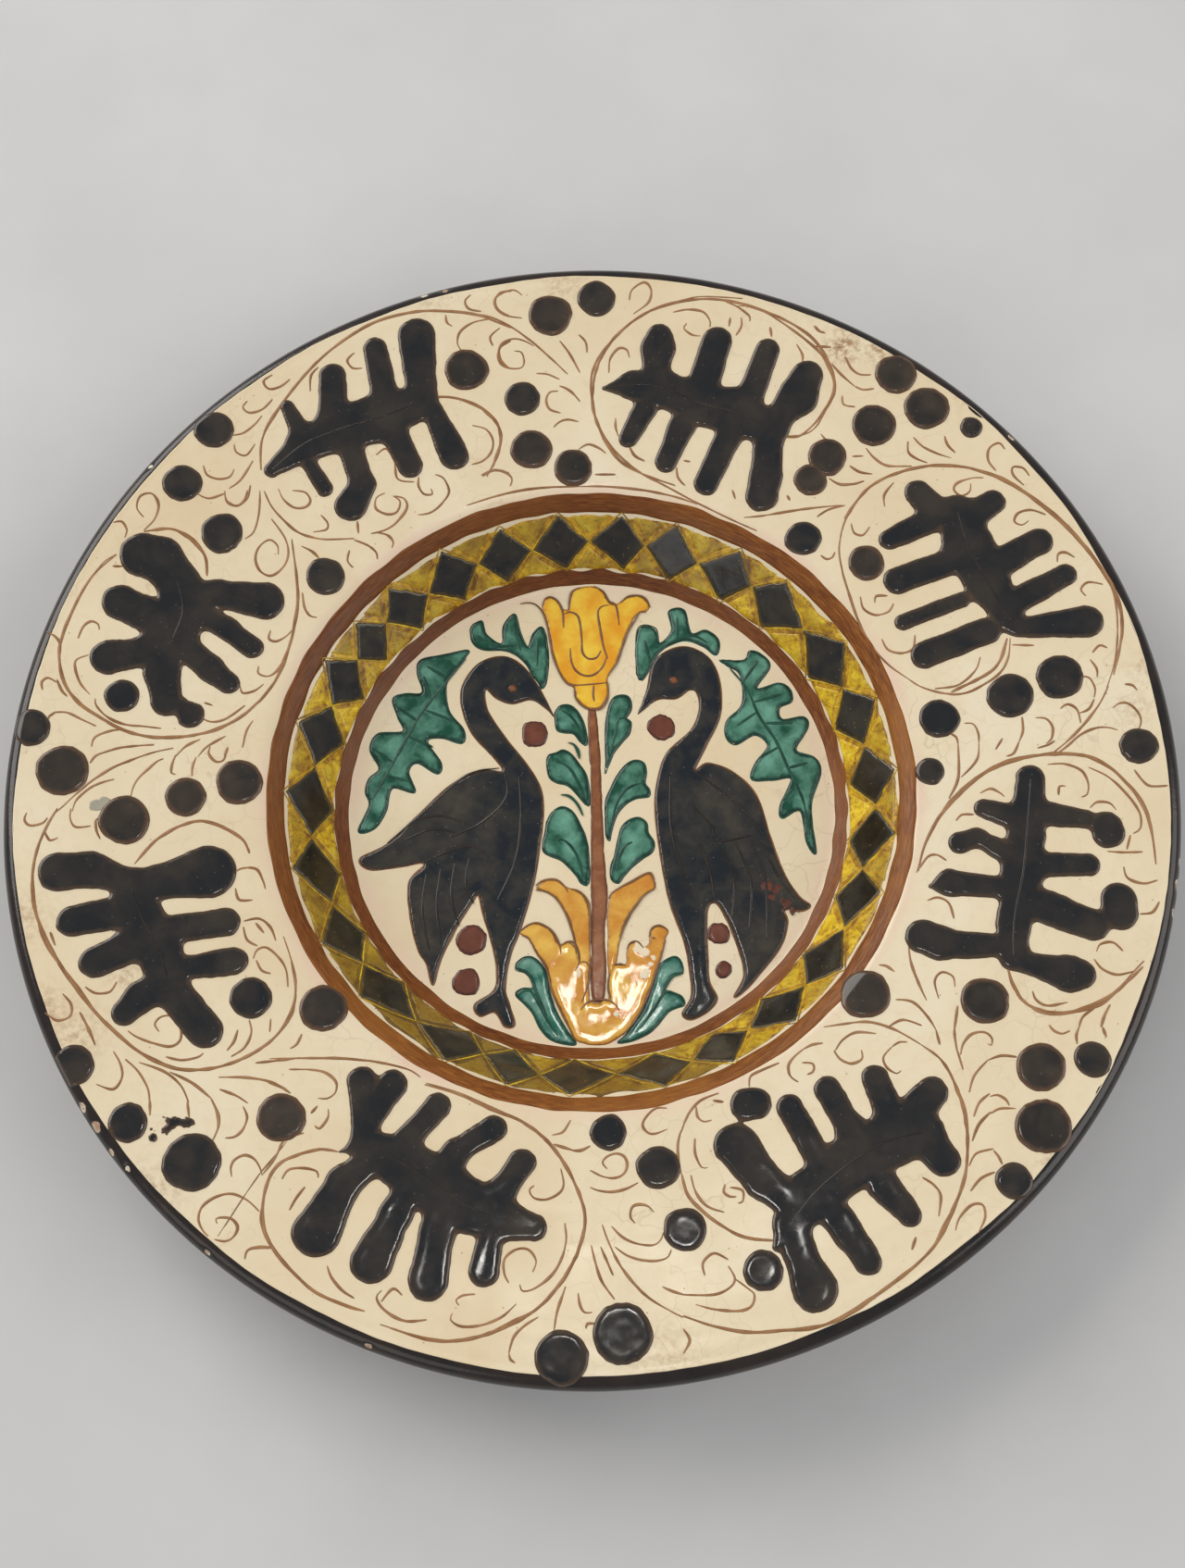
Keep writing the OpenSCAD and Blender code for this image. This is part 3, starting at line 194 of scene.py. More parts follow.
# The small curls of the scrollwork.
CURLS = [points(row) for row in [
    [-45,188, -47,185.5, -45.5,182.5, -41,181.5], [-30,189.5, -34,189, -36,185.5, -34.5,182,
    -30,179.5], [-54,180, -53.5,177, -51.5,175.5], [-38,178.5, -44,177, -48.5,173.5, -49.5,169,
    -48,166], [-34,175, -37.5,171.5, -36.5,168], [-30,170, -34,167, -33.5,162.5, -30,159],
    [-87,164.5, -89.5,161.5, -87.5,158.5, -84,158.5], [-116.5,155, -119.5,152.5, -117.5,149.5,
    -113.5,150.5, -110,153.5], [-125,144.5, -126.5,142, -124,140, -119.5,141.5, -116,145.5],
    [-130,131, -126,132, -122,135.5, -119.5,139], [-129,127.5, -128,124.5, -124.5,123.5,
    -121.5,128], [-130,110.5, -126,114, -122,121.5], [-130,105.5, -127,104, -123.5,107, -122.5,112],
    [-112.5,111, -110.5,107, -106.5,104, -102.5,104.5, -101,107, -103,110, -107.5,110.5],
    [-97,101.5, -94.5,98.5, -95,96, -99.5,95], [-84,99.5, -83.5,95], [-74.5,110.5, -77.5,108.5,
    -77.5,104.5, -73.5,102.5, -70,103.5, -69,107.5, -71.5,109.5], [-71,109.5, -67.5,108.5,
    -66.5,105, -70,99.5, -74,96.5, -79,95], [-62.5,117, -62.5,113.5, -60.5,110.5, -57.5,110.5,
    -58,112.5], [-56.5,118, -53.5,116.5, -51.5,111.5, -54,107, -58,103.5, -62.5,102.5], [-43.5,137,
    -38.5,135.5, -36,131.5, -36.5,127, -39.5,123.5, -43.5,122], [-56,147.5, -50,147.5, -43,145.5,
    -38,141.5, -34,136.5, -33.5,129.5, -35.5,123, -38,117.5], [-39.5,117.5, -35.5,120, -30,119],
    [-78,125, -74.5,127.5, -71.5,123, -70,116, -64,115], [-117.5,110, -114.5,104, -109.5,98.5,
    -104.5,94.5, -97.5,92.5, -91.5,92.5, -85,93], [52.5,183, 58.5,182.5, 64.5,179.5, 71.5,174.5,
    78.5,168.5, 83.5,163, 87,155, 87.5,149.5, 85,143, 81,135.5, 76.5,132.5, 69.5,132], [55,186,
    40.5,187, 32.5,185.5, 25,183, 17.5,179.5, 11,174.5, 5,167.5, 1,161, -0.5,154.5, 0,147,
    1.5,139.5, 5.5,131, 11,124.5, 17.5,119, 25.5,114.5, 35,109, 41.5,105.5, 50,101, 59,96.5],
    [13.5,186, 14.5,190, 19,193, 21.5,190, 20.5,185, 15,180.5], [29.5,181, 35,182, 40.5,181,
    43,177.5, 43,175], [34.5,176.5, 33.5,174.5, 36.5,172, 39.5,171.5], [50.5,178.5, 50,175],
    [54.5,178.5, 54.5,175, 52.5,171.5], [48.5,185, 53.5,182.5, 57.5,179, 57.5,177], [6,157.5,
    6.5,163, 9.5,167, 12.5,166.5, 13.5,163.5], [-5,172.5, -2.5,169.5, -2,165.5], [65,174.5,
    65.5,170.5], [74.5,167.5, 76.5,163.5, 76.5,160.5], [81,174.5, 82.5,172.5, 85,171.5],
    [81.5,166.5, 87,166], [87,159.5, 90.5,155, 95,150.5], [90.5,147, 91,143.5, 95,142.5], [8.5,140,
    8.5,136.5, 9.5,133], [13.5,129, 15.5,125.5, 19,123.5], [-5,128, -1.5,130, 2.5,128.5, 5,126.5],
    [-5,114, 5,114, 18.5,112.5, 29.5,110, 38,107], [1,118.5, 8.5,118.5], [30.5,121, 31,117,
    33.5,114], [33,123.5, 35.5,123], [50.5,112, 51.5,108.5], [70,109.5, 71,107.5], [54.5,101.5,
    61.5,102, 71.5,103.5, 80.5,104.5, 89.5,105], [80.5,101, 84.5,103.5, 90.5,105], [89,95, 91,100.5,
    95,106.5], [85,115.5, 89,113, 95,113], [82.5,132.5, 84.5,130, 87,129], [90,100, 92.5,104,
    96.5,108.5, 102,113.5, 108.5,116.5, 116.5,118.5, 125.5,118.5, 133.5,117.5, 142,115, 150,110.5,
    156.5,104.5, 163.5,97.5, 169.5,90.5, 174.5,83.5, 178.5,76.5, 181.5,70, 182.5,63.5, 182.5,56.5,
    182,50, 180.5,42, 177.5,33.5], [113.5,128.5, 113.5,124.5, 116,122, 120,120], [115.5,130,
    118.5,126.5, 123.5,123.5, 128.5,121.5], [126.5,130, 127.5,126.5, 130,123.5], [98.5,126.5,
    101.5,122.5, 106,119.5, 114.5,119], [93.5,123.5, 97.5,123.5], [92.5,120, 96,117.5, 100.5,116.5],
    [90,113, 94,113, 97.5,114], [147.5,124, 145.5,126.5, 142,124.5, 141.5,120, 144,116],
    [155.5,113.5, 153.5,116.5, 150,117, 150,114, 153.5,110], [139.5,113.5, 135.5,113.5, 130.5,112,
    129,109.5, 131.5,107, 134.5,108.5, 135,111.5], [108,113, 104.5,108.5, 104.5,104], [92.5,98,
    93.5,94.5, 96.5,93.5, 99,96.5], [160.5,98.5, 155.5,100.5, 151,99.5, 149.5,96.5, 152,95,
    154.5,96.5], [163.5,80.5, 164,83.5, 166.5,84, 169.5,82], [172.5,67.5, 171,70, 173.5,72.5,
    178.5,71.5], [100,68, 100.5,70.5, 104.5,70.5], [95,70.5, 96,66, 100,63.5, 104.5,64.5,
    106.5,67.5], [102,54.5, 104,50.5, 108.5,49, 112.5,50.5, 113.5,55.5], [178.5,48, 176,49,
    173.5,46.5], [172.5,44, 174.5,40.5, 174.5,37.5], [146,53, 145,46, 142,40.5, 136.5,36.5,
    130,33.5, 123.5,33.5, 115.5,36, 110.5,39.5], [135.5,46.5, 133.5,41.5, 127.5,36.5, 119.5,35.5],
    [146.5,50.5, 154,50], [167.5,37.5, 171.5,37.5, 173.5,33.5, 173,30], [183.5,34.5, 186,34,
    187.5,32], [110.5,-30.5, 112.5,-24.5, 115.5,-17, 120.5,-9.5, 126.5,-3, 133.5,3, 141.5,7,
    150.5,9.5, 159,10.5, 167,9.5, 173.5,6.5, 179.5,1.5, 184.5,-4.5, 187.5,-11, 188.5,-18.5,
    189,-28.5], [169.5,5, 175.5,1.5, 181,-4.5, 185,-11.5, 185,-17, 182.5,-19], [173.5,-25,
    179,-25.5, 185,-25.5], [180,-24.5, 181.5,-19.5], [178.5,-30.5, 179.5,-34.5, 184.5,-36.5,
    189,-35.5], [156,6.5, 161.5,6.5, 167,4, 169,-0.5, 168.5,-4.5, 166.5,-5.5], [159,-4.5,
    159.5,-1.5, 161.5,-1.5], [169,-9.5, 171.5,-7.5, 175.5,-8, 177.5,-10.5], [133,-3, 136.5,-1.5,
    139.5,-3, 141,-4.5], [124.5,-12.5, 126.5,-10.5, 130.5,-10.5], [111.5,-29, 114.5,-25,
    117.5,-24.5, 120.5,-26.5], [113.5,-40.5, 117,-39.5, 120.5,-41.5, 122,-47], [138.5,-65,
    139.5,-70.5, 143,-75.5, 147.5,-79.5, 153.5,-80.5, 160.5,-79.5, 167.5,-77.5, 173.5,-72.5,
    178.5,-67, 182.5,-63], [146,-72.5, 147,-75.5, 150.5,-77.5, 157,-76.5], [167.5,-59.5, 169,-57,
    173,-56.5, 176,-59.5], [166.5,-62, 169,-65.5, 173.5,-67.5, 179,-66.5], [182.5,-47, 186.5,-46.5,
    189,-43], [106.5,-55, 107,-61.5, 109,-68.5, 111.5,-75], [115.5,-74.5, 114.5,-68.5, 117,-65.5,
    120.5,-67, 121,-70.5], [101.5,-74.5, 107,-75.5, 111.5,-80.5, 114,-85], [99,-83.5, 103.5,-81.5,
    109.5,-83.5], [121.5,-77, 120,-85], [96.5,-62.5, 99,-63, 101.5,-65], [165.5,-78.5, 161.5,-81.5,
    160,-85], [170.5,-77.5, 168.5,-81, 167,-85], [126.5,15, 126,3, 122.5,-4.5], [133.5,15, 132.5,9,
    127,3], [142.5,10, 145,11, 147,15], [153,12.5, 156.5,13.5, 159,15], [158.5,9.5, 162.5,12.5,
    165.5,15], [184.5,3.5, 187,-0.5, 189.5,-2.5, 195,-2.5], [59,-153.5, 50,-152.5, 43,-149,
    37,-144.5, 32,-139, 30,-132], [109,-90, 115,-95, 119,-103, 122,-112, 122,-122, 121,-131,
    117,-142, 113,-149, 109,-156, 102,-162.5, 93,-169, 83,-176, 75,-179.5, 60,-181.5, 50,-182,
    39,-180, 30,-177], [80.5,-91.5, 82.5,-94.5, 86,-96, 89.5,-94.5, 89.5,-91.5], [99.5,-90.5,
    96.5,-94, 97.5,-97.5, 100.5,-99.5, 102,-98.5], [70.5,-91, 67.5,-93.5, 65.5,-96.5, 66,-100,
    68.5,-102], [70,-95.5, 73.5,-96, 73.5,-98.5, 71.5,-99.5], [62.5,-95.5, 56.5,-98, 53,-100,
    52.5,-103.5], [40.5,-108, 44,-108.5], [30,-118.5, 32.5,-112.5, 36.5,-108, 42.5,-105.5],
    [35,-110, 35.5,-113.5, 37.5,-115, 40,-114.5], [34.5,-120.5, 34.5,-125.5, 36.5,-130, 38.5,-130],
    [33,-132.5, 34.5,-138, 38,-142.5, 43.5,-144.5], [44,-135.5, 43.5,-138, 45.5,-139.5,
    47.5,-139.5], [45.5,-136.5, 49.5,-137.5, 49.5,-141, 48,-141.5], [37,-164.5, 36.5,-160.5,
    40,-157.5, 44.5,-159.5], [44.5,-161.5, 46.5,-165.5, 44.5,-168.5, 39.5,-170.5, 30,-170.5],
    [46.5,-165.5, 50.5,-168.5, 52.5,-170.5, 51.5,-174, 47.5,-175.5, 40,-175, 34,-173.5],
    [107,-133.5, 110.5,-136, 112.5,-139.5, 111.5,-146], [104,-152.5, 102.5,-156.5], [120.5,-92,
    122,-98.5], [130,-95.5, 125.5,-100.5, 123.5,-106], [130,-106.5, 126.5,-109.5, 124.5,-114],
    [130,-112.5, 126,-116.5, 123.5,-122], [122,-130, 124.5,-126, 130,-124.5], [130,-132, 125.5,-134,
    122,-138], [116.5,-150.5, 118,-146.5, 122,-142.5, 125.5,-142.5, 126,-146.5, 123.5,-151.5],
    [30,-181, 32,-184.5, 30,-188.5], [-105,-95, -85,-94.5, -75,-95, -67.5,-96, -59.5,-98,
    -55.5,-100.5], [-53.5,-102.5, -43,-105.5, -31.5,-110.5, -21.5,-115.5, -13,-122, -8.5,-127.5,
    -5,-134, -1,-147, -5,-161, -10,-169, -16,-175, -24,-179, -32,-183, -40,-185, -47,-184.5,
    -55,-183, -65,-180], [-81,-125.5, -88,-125, -94,-127, -100,-130, -103,-135, -104,-142,
    -104,-149, -101,-155, -96,-161, -90,-167, -82,-172, -75,-175, -70,-176], [-98.5,-98.5,
    -91.5,-98.5, -86.5,-99.5, -83,-102.5, -83,-106, -85.5,-108, -88.5,-108], [-105,-103,
    -100.5,-104.5, -97.5,-106.5], [-85,-111.5, -85,-114.5, -87.5,-118, -89,-117], [-88.5,-110.5,
    -90.5,-113], [-92.5,-119.5, -98.5,-122, -101,-127.5, -105,-133.5], [-98.5,-134.5, -96.5,-131.5,
    -91.5,-131, -87.5,-132, -87,-134], [-91,-137, -93.5,-140.5, -95.5,-144.5], [-82.5,-162,
    -81,-165.5, -77.5,-169.5, -73.5,-172], [-58.5,-171, -61.5,-169, -65,-173], [-65,-169.5,
    -66.5,-171.5, -65,-174.5, -61,-177.5, -56.5,-179, -50.5,-178.5], [-35.5,-170.5, -39.5,-171,
    -41.5,-172.5, -40.5,-174], [-42.5,-176.5, -43,-178.5, -39.5,-180.5, -33,-180, -27,-177.5,
    -22.5,-173.5], [-25,-167, -26.5,-164, -26.5,-159.5, -23,-156.5, -19,-156.5, -16.5,-160,
    -17.5,-163.5], [-21.5,-167.5, -20.5,-169.5, -16.5,-168.5, -11.5,-164.5, -8.5,-159.5, -7,-153.5,
    -7.5,-148], [-17.5,-136, -19,-137.5, -17.5,-140, -13.5,-140.5, -9.5,-138.5, -8,-135.5,
    -9,-130.5], [-12,-119.5, -8.5,-118.5, -6,-114.5], [-11.5,-122.5, -5,-124.5], [-24.5,-188.5,
    -23,-183.5, -19.5,-180, -15.5,-177.5], [-7,-168, -9.5,-175.5, -10.5,-181.5], [-105,-156,
    -100.5,-156.5], [-181,-10, -184,-16, -186,-23, -187,-32, -186,-40, -184,-49, -181,-57, -175,-65,
    -168,-73, -162,-81, -155,-87, -148,-93, -142,-96, -134,-99, -125,-99, -118,-97, -110,-93,
    -104,-88, -99,-81, -98,-75, -98,-68, -100,-61, -103,-53], [-154,-29, -151,-25, -146,-19,
    -140,-15, -133,-13, -126,-15, -120,-18, -116,-23], [-191,-12, -191.5,-14.5, -189.5,-16.5,
    -185.5,-15.5, -184,-13.5], [-176.5,-10, -176.5,-13.5, -174.5,-16.5, -169.5,-16], [-184.5,-18.5,
    -182.5,-21.5, -180,-20.5], [-121,-31.5, -118.5,-29.5, -113.5,-29.5, -111,-33.5, -110,-36.5],
    [-120,-36.5, -118.5,-40.5, -114,-40.5], [-116.5,-48, -111.5,-47, -107.5,-50, -105.5,-54.5],
    [-116.5,-50, -115,-54.5, -111.5,-56.5], [-112.5,-48.5, -109.5,-52], [-112.5,-61, -111.5,-58,
    -108.5,-57, -104.5,-60, -101.5,-64.5, -100.5,-70.5], [-111.5,-61.5, -109.5,-65, -106.5,-66],
    [-166.5,-72, -163,-74, -158.5,-73.5, -156.5,-70], [-141.5,-86.5, -143,-84, -141,-81.5,
    -137,-81.5, -134.5,-85.5, -134.5,-89.5, -137.5,-91.5, -143,-90.5, -148.5,-88.5, -151.5,-86.5],
    [-138.5,-95, -133.5,-96, -128.5,-95, -126.5,-93.5], [-112.5,-82, -111.5,-86.5, -113.5,-91.5,
    -117.5,-94.5], [-116,-85.5, -117,-89.5, -119,-92.5], [-105.5,-81.5, -105.5,-86], [-95,-86.5,
    -96.5,-90, -98.5,-91.5], [-95,-94.5, -101.5,-95.5, -109.5,-96.5], [-173.5,-74.5, -170.5,-78,
    -170.5,-82, -174.5,-83.5, -178.5,-81], [-179.5,-53.5, -177.5,-58], [-167.5,-80.5, -164.5,-85.5,
    -161.5,-91.5], [-155.5,-93.5, -153,-97.5, -152,-102, -154.5,-106, -160,-104.5], [-151.5,-96,
    -147,-100, -143.5,-105.5, -142.5,-110], [-147,-97, -138.5,-100, -133,-104.5, -130,-110],
    [-137,-100, -129.5,-103.5, -123,-108.5], [-121,-101.5, -111.5,-101.5, -103.5,-103, -98.5,-106],
    [-120.5,-105.5, -115,-107.5, -111,-110], [-168,84, -172,81, -176,75, -179,69, -182,61, -184,53,
    -185,47, -184,40, -181,33, -176,27, -169,23, -162,19, -154,17, -145,17, -137,18, -130,20,
    -122,25, -116,31, -111,38, -108,47, -106,53, -105,61, -104,70, -105,78, -106,86, -107,92],
    [-159,93, -154,94, -148,94, -142,91, -138,86, -136,80, -136,77], [-159.5,98.5, -162,102,
    -161,106.5, -157,107.5, -154.5,103.5, -155.5,98, -159,93.5], [-170,96, -167,96.5, -165,93.5,
    -165.5,90.5], [-141,108, -137,106.5, -131.5,108.5], [-131.5,109.5, -130.5,105.5, -127,104,
    -124.5,106, -123.5,110], [-119,110, -119,101.5, -120.5,94.5, -123.5,91.5], [-114.5,99.5,
    -109.5,92.5, -108,86.5, -109.5,81.5, -113.5,78, -117.5,79.5, -119.5,84, -118.5,88.5, -115,91.5,
    -112,89.5, -111.5,86], [-103.5,89.5, -99.5,87.5, -97,85], [-102.5,72, -101.5,66.5, -99.5,63.5,
    -97,63], [-86.5,88.5, -87,84.5, -85,82], [-113,57.5, -113.5,54.5, -111,53.5, -107.5,55.5,
    -105,58.5], [-116.5,44, -116.5,41.5, -113,40.5, -109.5,43.5, -107,49.5], [-122.5,36.5,
    -121.5,34, -117.5,35, -114.5,37.5], [-135.5,24.5, -131.5,23, -126.5,24.5, -120.5,29.5],
    [-134.5,30, -131.5,29], [-117.5,24, -119.5,20, -120.5,14], [-171.5,30, -171,27.5, -167,23.5,
    -161,21, -154.5,20.5, -148.5,20], [-173.5,31.5, -177,35.5, -179,40.5, -179,44, -175,46],
    [-179,52, -177.5,56.5, -175,58.5, -172.5,57.5, -172,55.5], [-169,79.5, -165.5,79.5], [-185,24.5,
    -180.5,24.5, -175,22, -170.5,20], [-171.5,12.5, -170.5,16, -165.5,18.5, -161.5,19], [-143,10,
    -139.5,14, -135,16.5], [-135.5,10, -132.5,14, -126.5,18], [-126.5,10.5, -125.5,14], [-168.5,10,
    -161.5,12.5, -150.5,14], [-185,36.5, -183,32.5, -181,30.5], [-26,188, -29,190, -33,189,
    -36,186.5, -35.5,183, -32,180, -26,179], [-28.5,166, -26,165.5, -25,162, -26,159.5, -30,159.2,
    -33.5,161, -34.5,165, -33,169, -29,170.8, -25,170, -21.5,168], [-45,180.5, -38,179.5, -30,175.5,
    -22,169.5, -15,163, -9,157], [-12,170, -9,166, -6.5,161.5, -4.5,157.5], [-20.5,157.3, -16.5,157,
    -12,155], [-12,152.5, -9.5,151.5, -7,149.5, -4.5,146.5], [-12.5,150.5, -15.5,150, -16.8,147,
    -15.5,143.5, -11.5,142], [-14,136.5, -12,138.5, -9,139.5, -5,138.7], [-45,106.5, -35,110,
    -25,112.5, -15,113.7, -5,114], [-40,118, -36,119.8, -32,119.5, -29,117, -29.5,114], [92,162,
    94,157.5, 97,155, 101,154.7], [95,150.5, 98,149, 102,149.3], [81.5,174.5, 83,172.3, 84.5,172],
    [-190,54, -187,52.5, -185,50, -184.5,46], [-189.5,32.5, -190,35.5, -188,37, -185,35.5],
    [-187,21, -186.5,23, -184.5,24.5], [-171.5,6.5, -170,9, -167.5,10.5], [-144,13, -151,11, -158,8,
    -164,5, -170,0.5, -175,-4.5, -179,-9, -182,-12], [-157,-5.5, -156.5,-2, -155,1.5, -152,5,
    -149,8, -147,9], [-142.5,3.5, -144,4, -144,7, -143,10.5], [-137,3, -137,6.5, -136,10],
    [-131.5,14, -132,12, -131,10, -129,8.5, -127,9, -126,11], [-163,1, -167.5,-0.5, -171.5,-3,
    -175,-7, -176,-11], [-167,-13, -168,-14, -167.5,-17.5, -166,-20.5], [-5.5,-124.5, -2.5,-124.5,
    0.5,-123], [6,-130.5, 4.5,-128.5, 6,-126.5, 9,-125.5, 11.5,-126.5, 12.5,-129, 11.5,-132,
    8.5,-133.5, 4.5,-133, 0.5,-131], [0.5,-136.5, 3,-137.5, 7.5,-138, 12,-137, 16,-135],
    [25.5,-110.5, 22,-110.5, 19,-113, 17.5,-116, 19,-118.5, 21.5,-119, 25.5,-117.5], [30,-118,
    29,-122, 29,-127, 30,-132.5], [15,-148, 13.5,-146, 14,-143, 16,-142, 19,-142.5, 21,-144.5],
    [7.5,-149, 11,-152.5, 15.5,-154.5, 20.5,-155, 23,-153.5, 24,-151], [8.5,-155.5, 12,-158,
    16,-159.5, 21,-160, 25,-159, 26.5,-156.5], [4.5,-148.5, 6.5,-154, 10,-161, 15,-167.5, 20,-172,
    26,-175.5, 30,-177.5], [4,-155.5, 6,-160, 8,-164.5], [1,-155, 2.5,-161, 4.5,-166.5, 8.5,-172],
    [-3,-170, -2.5,-173.5, -1,-176, 1.5,-176], [-0.5,-181, 0,-179.5, 2.5,-179.5], [23.5,-168,
    27,-169.5, 30.5,-170.5], [-24.5,-188.5, -24,-190.5, -22.5,-191.5], [114,-85, 115,-90],
    [120,-84.5, 120,-88, 120.5,-92.5], [121.5,-93.5, 122.5,-90, 125,-87, 128,-86, 130.5,-86.5,
    132,-88.5, 131.5,-90.5, 130.5,-90], [139.5,-94.5, 134.5,-94, 130,-95.5], [130,-107.5,
    132.5,-107, 135,-108.5, 136,-110.5], [130,-113, 133,-111.5, 138,-111.5], [130,-125, 131.5,-127,
    132.5,-129.5], [150.5,-84, 152,-86, 154.5,-87, 157,-86], [159,-90.5, 159,-87.5, 160,-85],
    [168.5,-88.5, 167.5,-85], [-142.5,-109.5, -142,-114.5], [-130.5,-109.5, -129.5,-115],
    [-123,-108.5, -120.5,-113.5, -120,-118, -121.5,-122.5], [-112.5,-111, -111,-114.5, -112,-118.5,
    -114.5,-121, -117.5,-121.5], [-114.5,-134, -115,-131, -114,-128.5, -111,-127, -108,-128,
    -106,-130.5, -105,-133], [-105,-145, -109,-141.5, -114,-139.5, -119,-140.5, -123,-143.5,
    -124,-147.5, -122.5,-151, -120.5,-153], [-118,-149, -118.5,-147.5, -116.5,-147, -113.5,-147.5,
    -111.5,-150, -112.5,-153, -115,-154.5, -118.5,-154], [-108.5,-160, -108,-157.5, -105.5,-156.5,
    -101,-156.5], [89,95, 88,88, 89,80, 91,72, 94,62, 98,53, 104,45, 110.5,39.5], [81.5,86.5,
    83.5,85, 85.5,85.5, 86.5,87.5], [178,34, 174.5,27.5, 169,20.5, 163.5,15, 158,10.5], [179,26,
    181,27.5, 184,27.5, 187,24.5, 188,21, 187,18], [163,13, 168,17, 173,19, 177,19, 180,18],
    [161.5,26.5, 164,28, 167,26, 168,21], [167.5,24.5, 171,26, 173,29.5], [153,23.5, 156.5,23,
    158.5,20, 158,16, 156,14], [148.5,24, 148.5,19, 147,15], [139,12.5, 141.5,16.5], [129,22.5,
    132,22, 133.5,18.5, 133.5,15], [124,19, 126,17.5, 126.5,15], [-102.5,149, -102.5,155,
    -100,158.5], [-139.5,119, -138,115.5, -134,114, -130,115, -128.5,118], [-77,95.5, -73,94.5,
    -71,92, -71.5,90], [-85,92.5, -80,90.5, -77,88, -76.5,85.5], [77.5,-83.5, 85,-82.5, 92,-82,
    99,-84, 104.5,-87, 109,-90], [94.5,-86, 88,-85.5, 83.5,-88, 81,-91.5], [70.5,-91, 73.5,-89.5,
    77,-89], [99.5,-90.5, 102,-89, 104.5,-89]
]]
# Lines inside the motifs, flakes and grazes in the enamel, the birds' eyes and the browner dots.
TULIP_LINES = [points(row) for row in [
    [-26.5,78.5, -24,79, -21.5,78.6, -19.5,77, -18,74.5, -16.5,70, -15.5,65, -14.4,59, -12.4,53,
    -10,48.5, -7,46.7, 0,47, 5.6,47.6], [-18.3,77.6, -17.4,80.4, -15.6,81.2, -13.2,80, -11.6,77.5,
    -10.8,74.5, -10.5,69], [-10.4,74.4, -8.2,75.2, -5.6,74, -4.6,71, -4,66, -3.6,60], [-8.6,76,
    -8.4,80, -7.4,83.3, -4.4,85], [0.5,85.4, 3.8,83.4, 6,79.5, 8.3,78.2, 9.2,75, 9.8,70], [6,78,
    3.4,77.4, 2,75, 2.8,69, 4,62, 5.6,57], [10.5,79, 13,81.3, 17,81.7, 19.6,80.2, 21.2,77],
    [19.6,75.2, 17.4,75.2, 15.6,72, 13.6,69, 12,65, 10.6,60.5, 8.8,55, 5.8,50.4], [-8,61, -7.6,56,
    -6,52.4, -3,50.4, 0.5,50.6, 3.6,53.4, 5.2,57.4], [-3.8,64, -3.6,59.6, -1.6,57, 1.4,57.2,
    3.2,60], [-6.4,46, -6,42, -4,39.2, -1.2,37.6, 3,37.6, 5,40.2, 5.9,44, 5.6,48], [0.6,46.6,
    0.4,43, 0.8,40.4]
]]
GREEN_LINES = [points(row) for row in [
    [-46,57, -55,45, -62,35, -67,25, -72,15, -78,3], [50,53, 56,45, 60,35, 66,25, 70,15, 75,3,
    77,-10], [-58,41, -61,50], [-63,33, -70,38], [-66,27, -57,23], [-71,17, -78,22], [-73,12,
    -65,10], [-52,49, -60,54], [-60,37, -50,33], [58,40, 68,43], [62,32, 72,32], [67,23, 60,19],
    [70,15, 77,17], [72,8, 68,3], [54,47, 60,56], [59,36, 52,31], [-42,66, -36,62, -28,62], [-29,70,
    -26,60], [-20,65, -20,54], [42,63, 36,66, 28,63], [31,73, 31,65], [19,64, 21,56], [-11,37,
    -8,35, -5,31, -3,26], [-8.5,24.6, -6.5,24, -5,21.5, -4.4,18.5], [-13,18, -8,15, -4.5,9, -2,3],
    [-11,5, -8,4.5, -5,1.5, -3,-2.8], [-12,-11.5, -9.5,-12, -6.5,-15, -4,-20, -3,-25], [6.5,20,
    8.4,28, 9.6,33.4, 12.2,34], [7,-6, 8.4,0, 10.4,4.6, 13,7.4, 16.5,9, 19,9.4], [9,-23, 10,-18,
    12,-14, 14.5,-12.5], [-25.5,-58, -22.5,-59.3, -20.4,-62, -18.5,-67, -15,-75], [-25.5,-67.6,
    -22,-66, -19.5,-67.5, -15,-76, -11,-82], [31.5,-60, 28.6,-60.8, 26.4,-63.4, 24,-69], [32,-70,
    29,-67, 25.6,-66.6, 22,-72, 17,-79]
]]
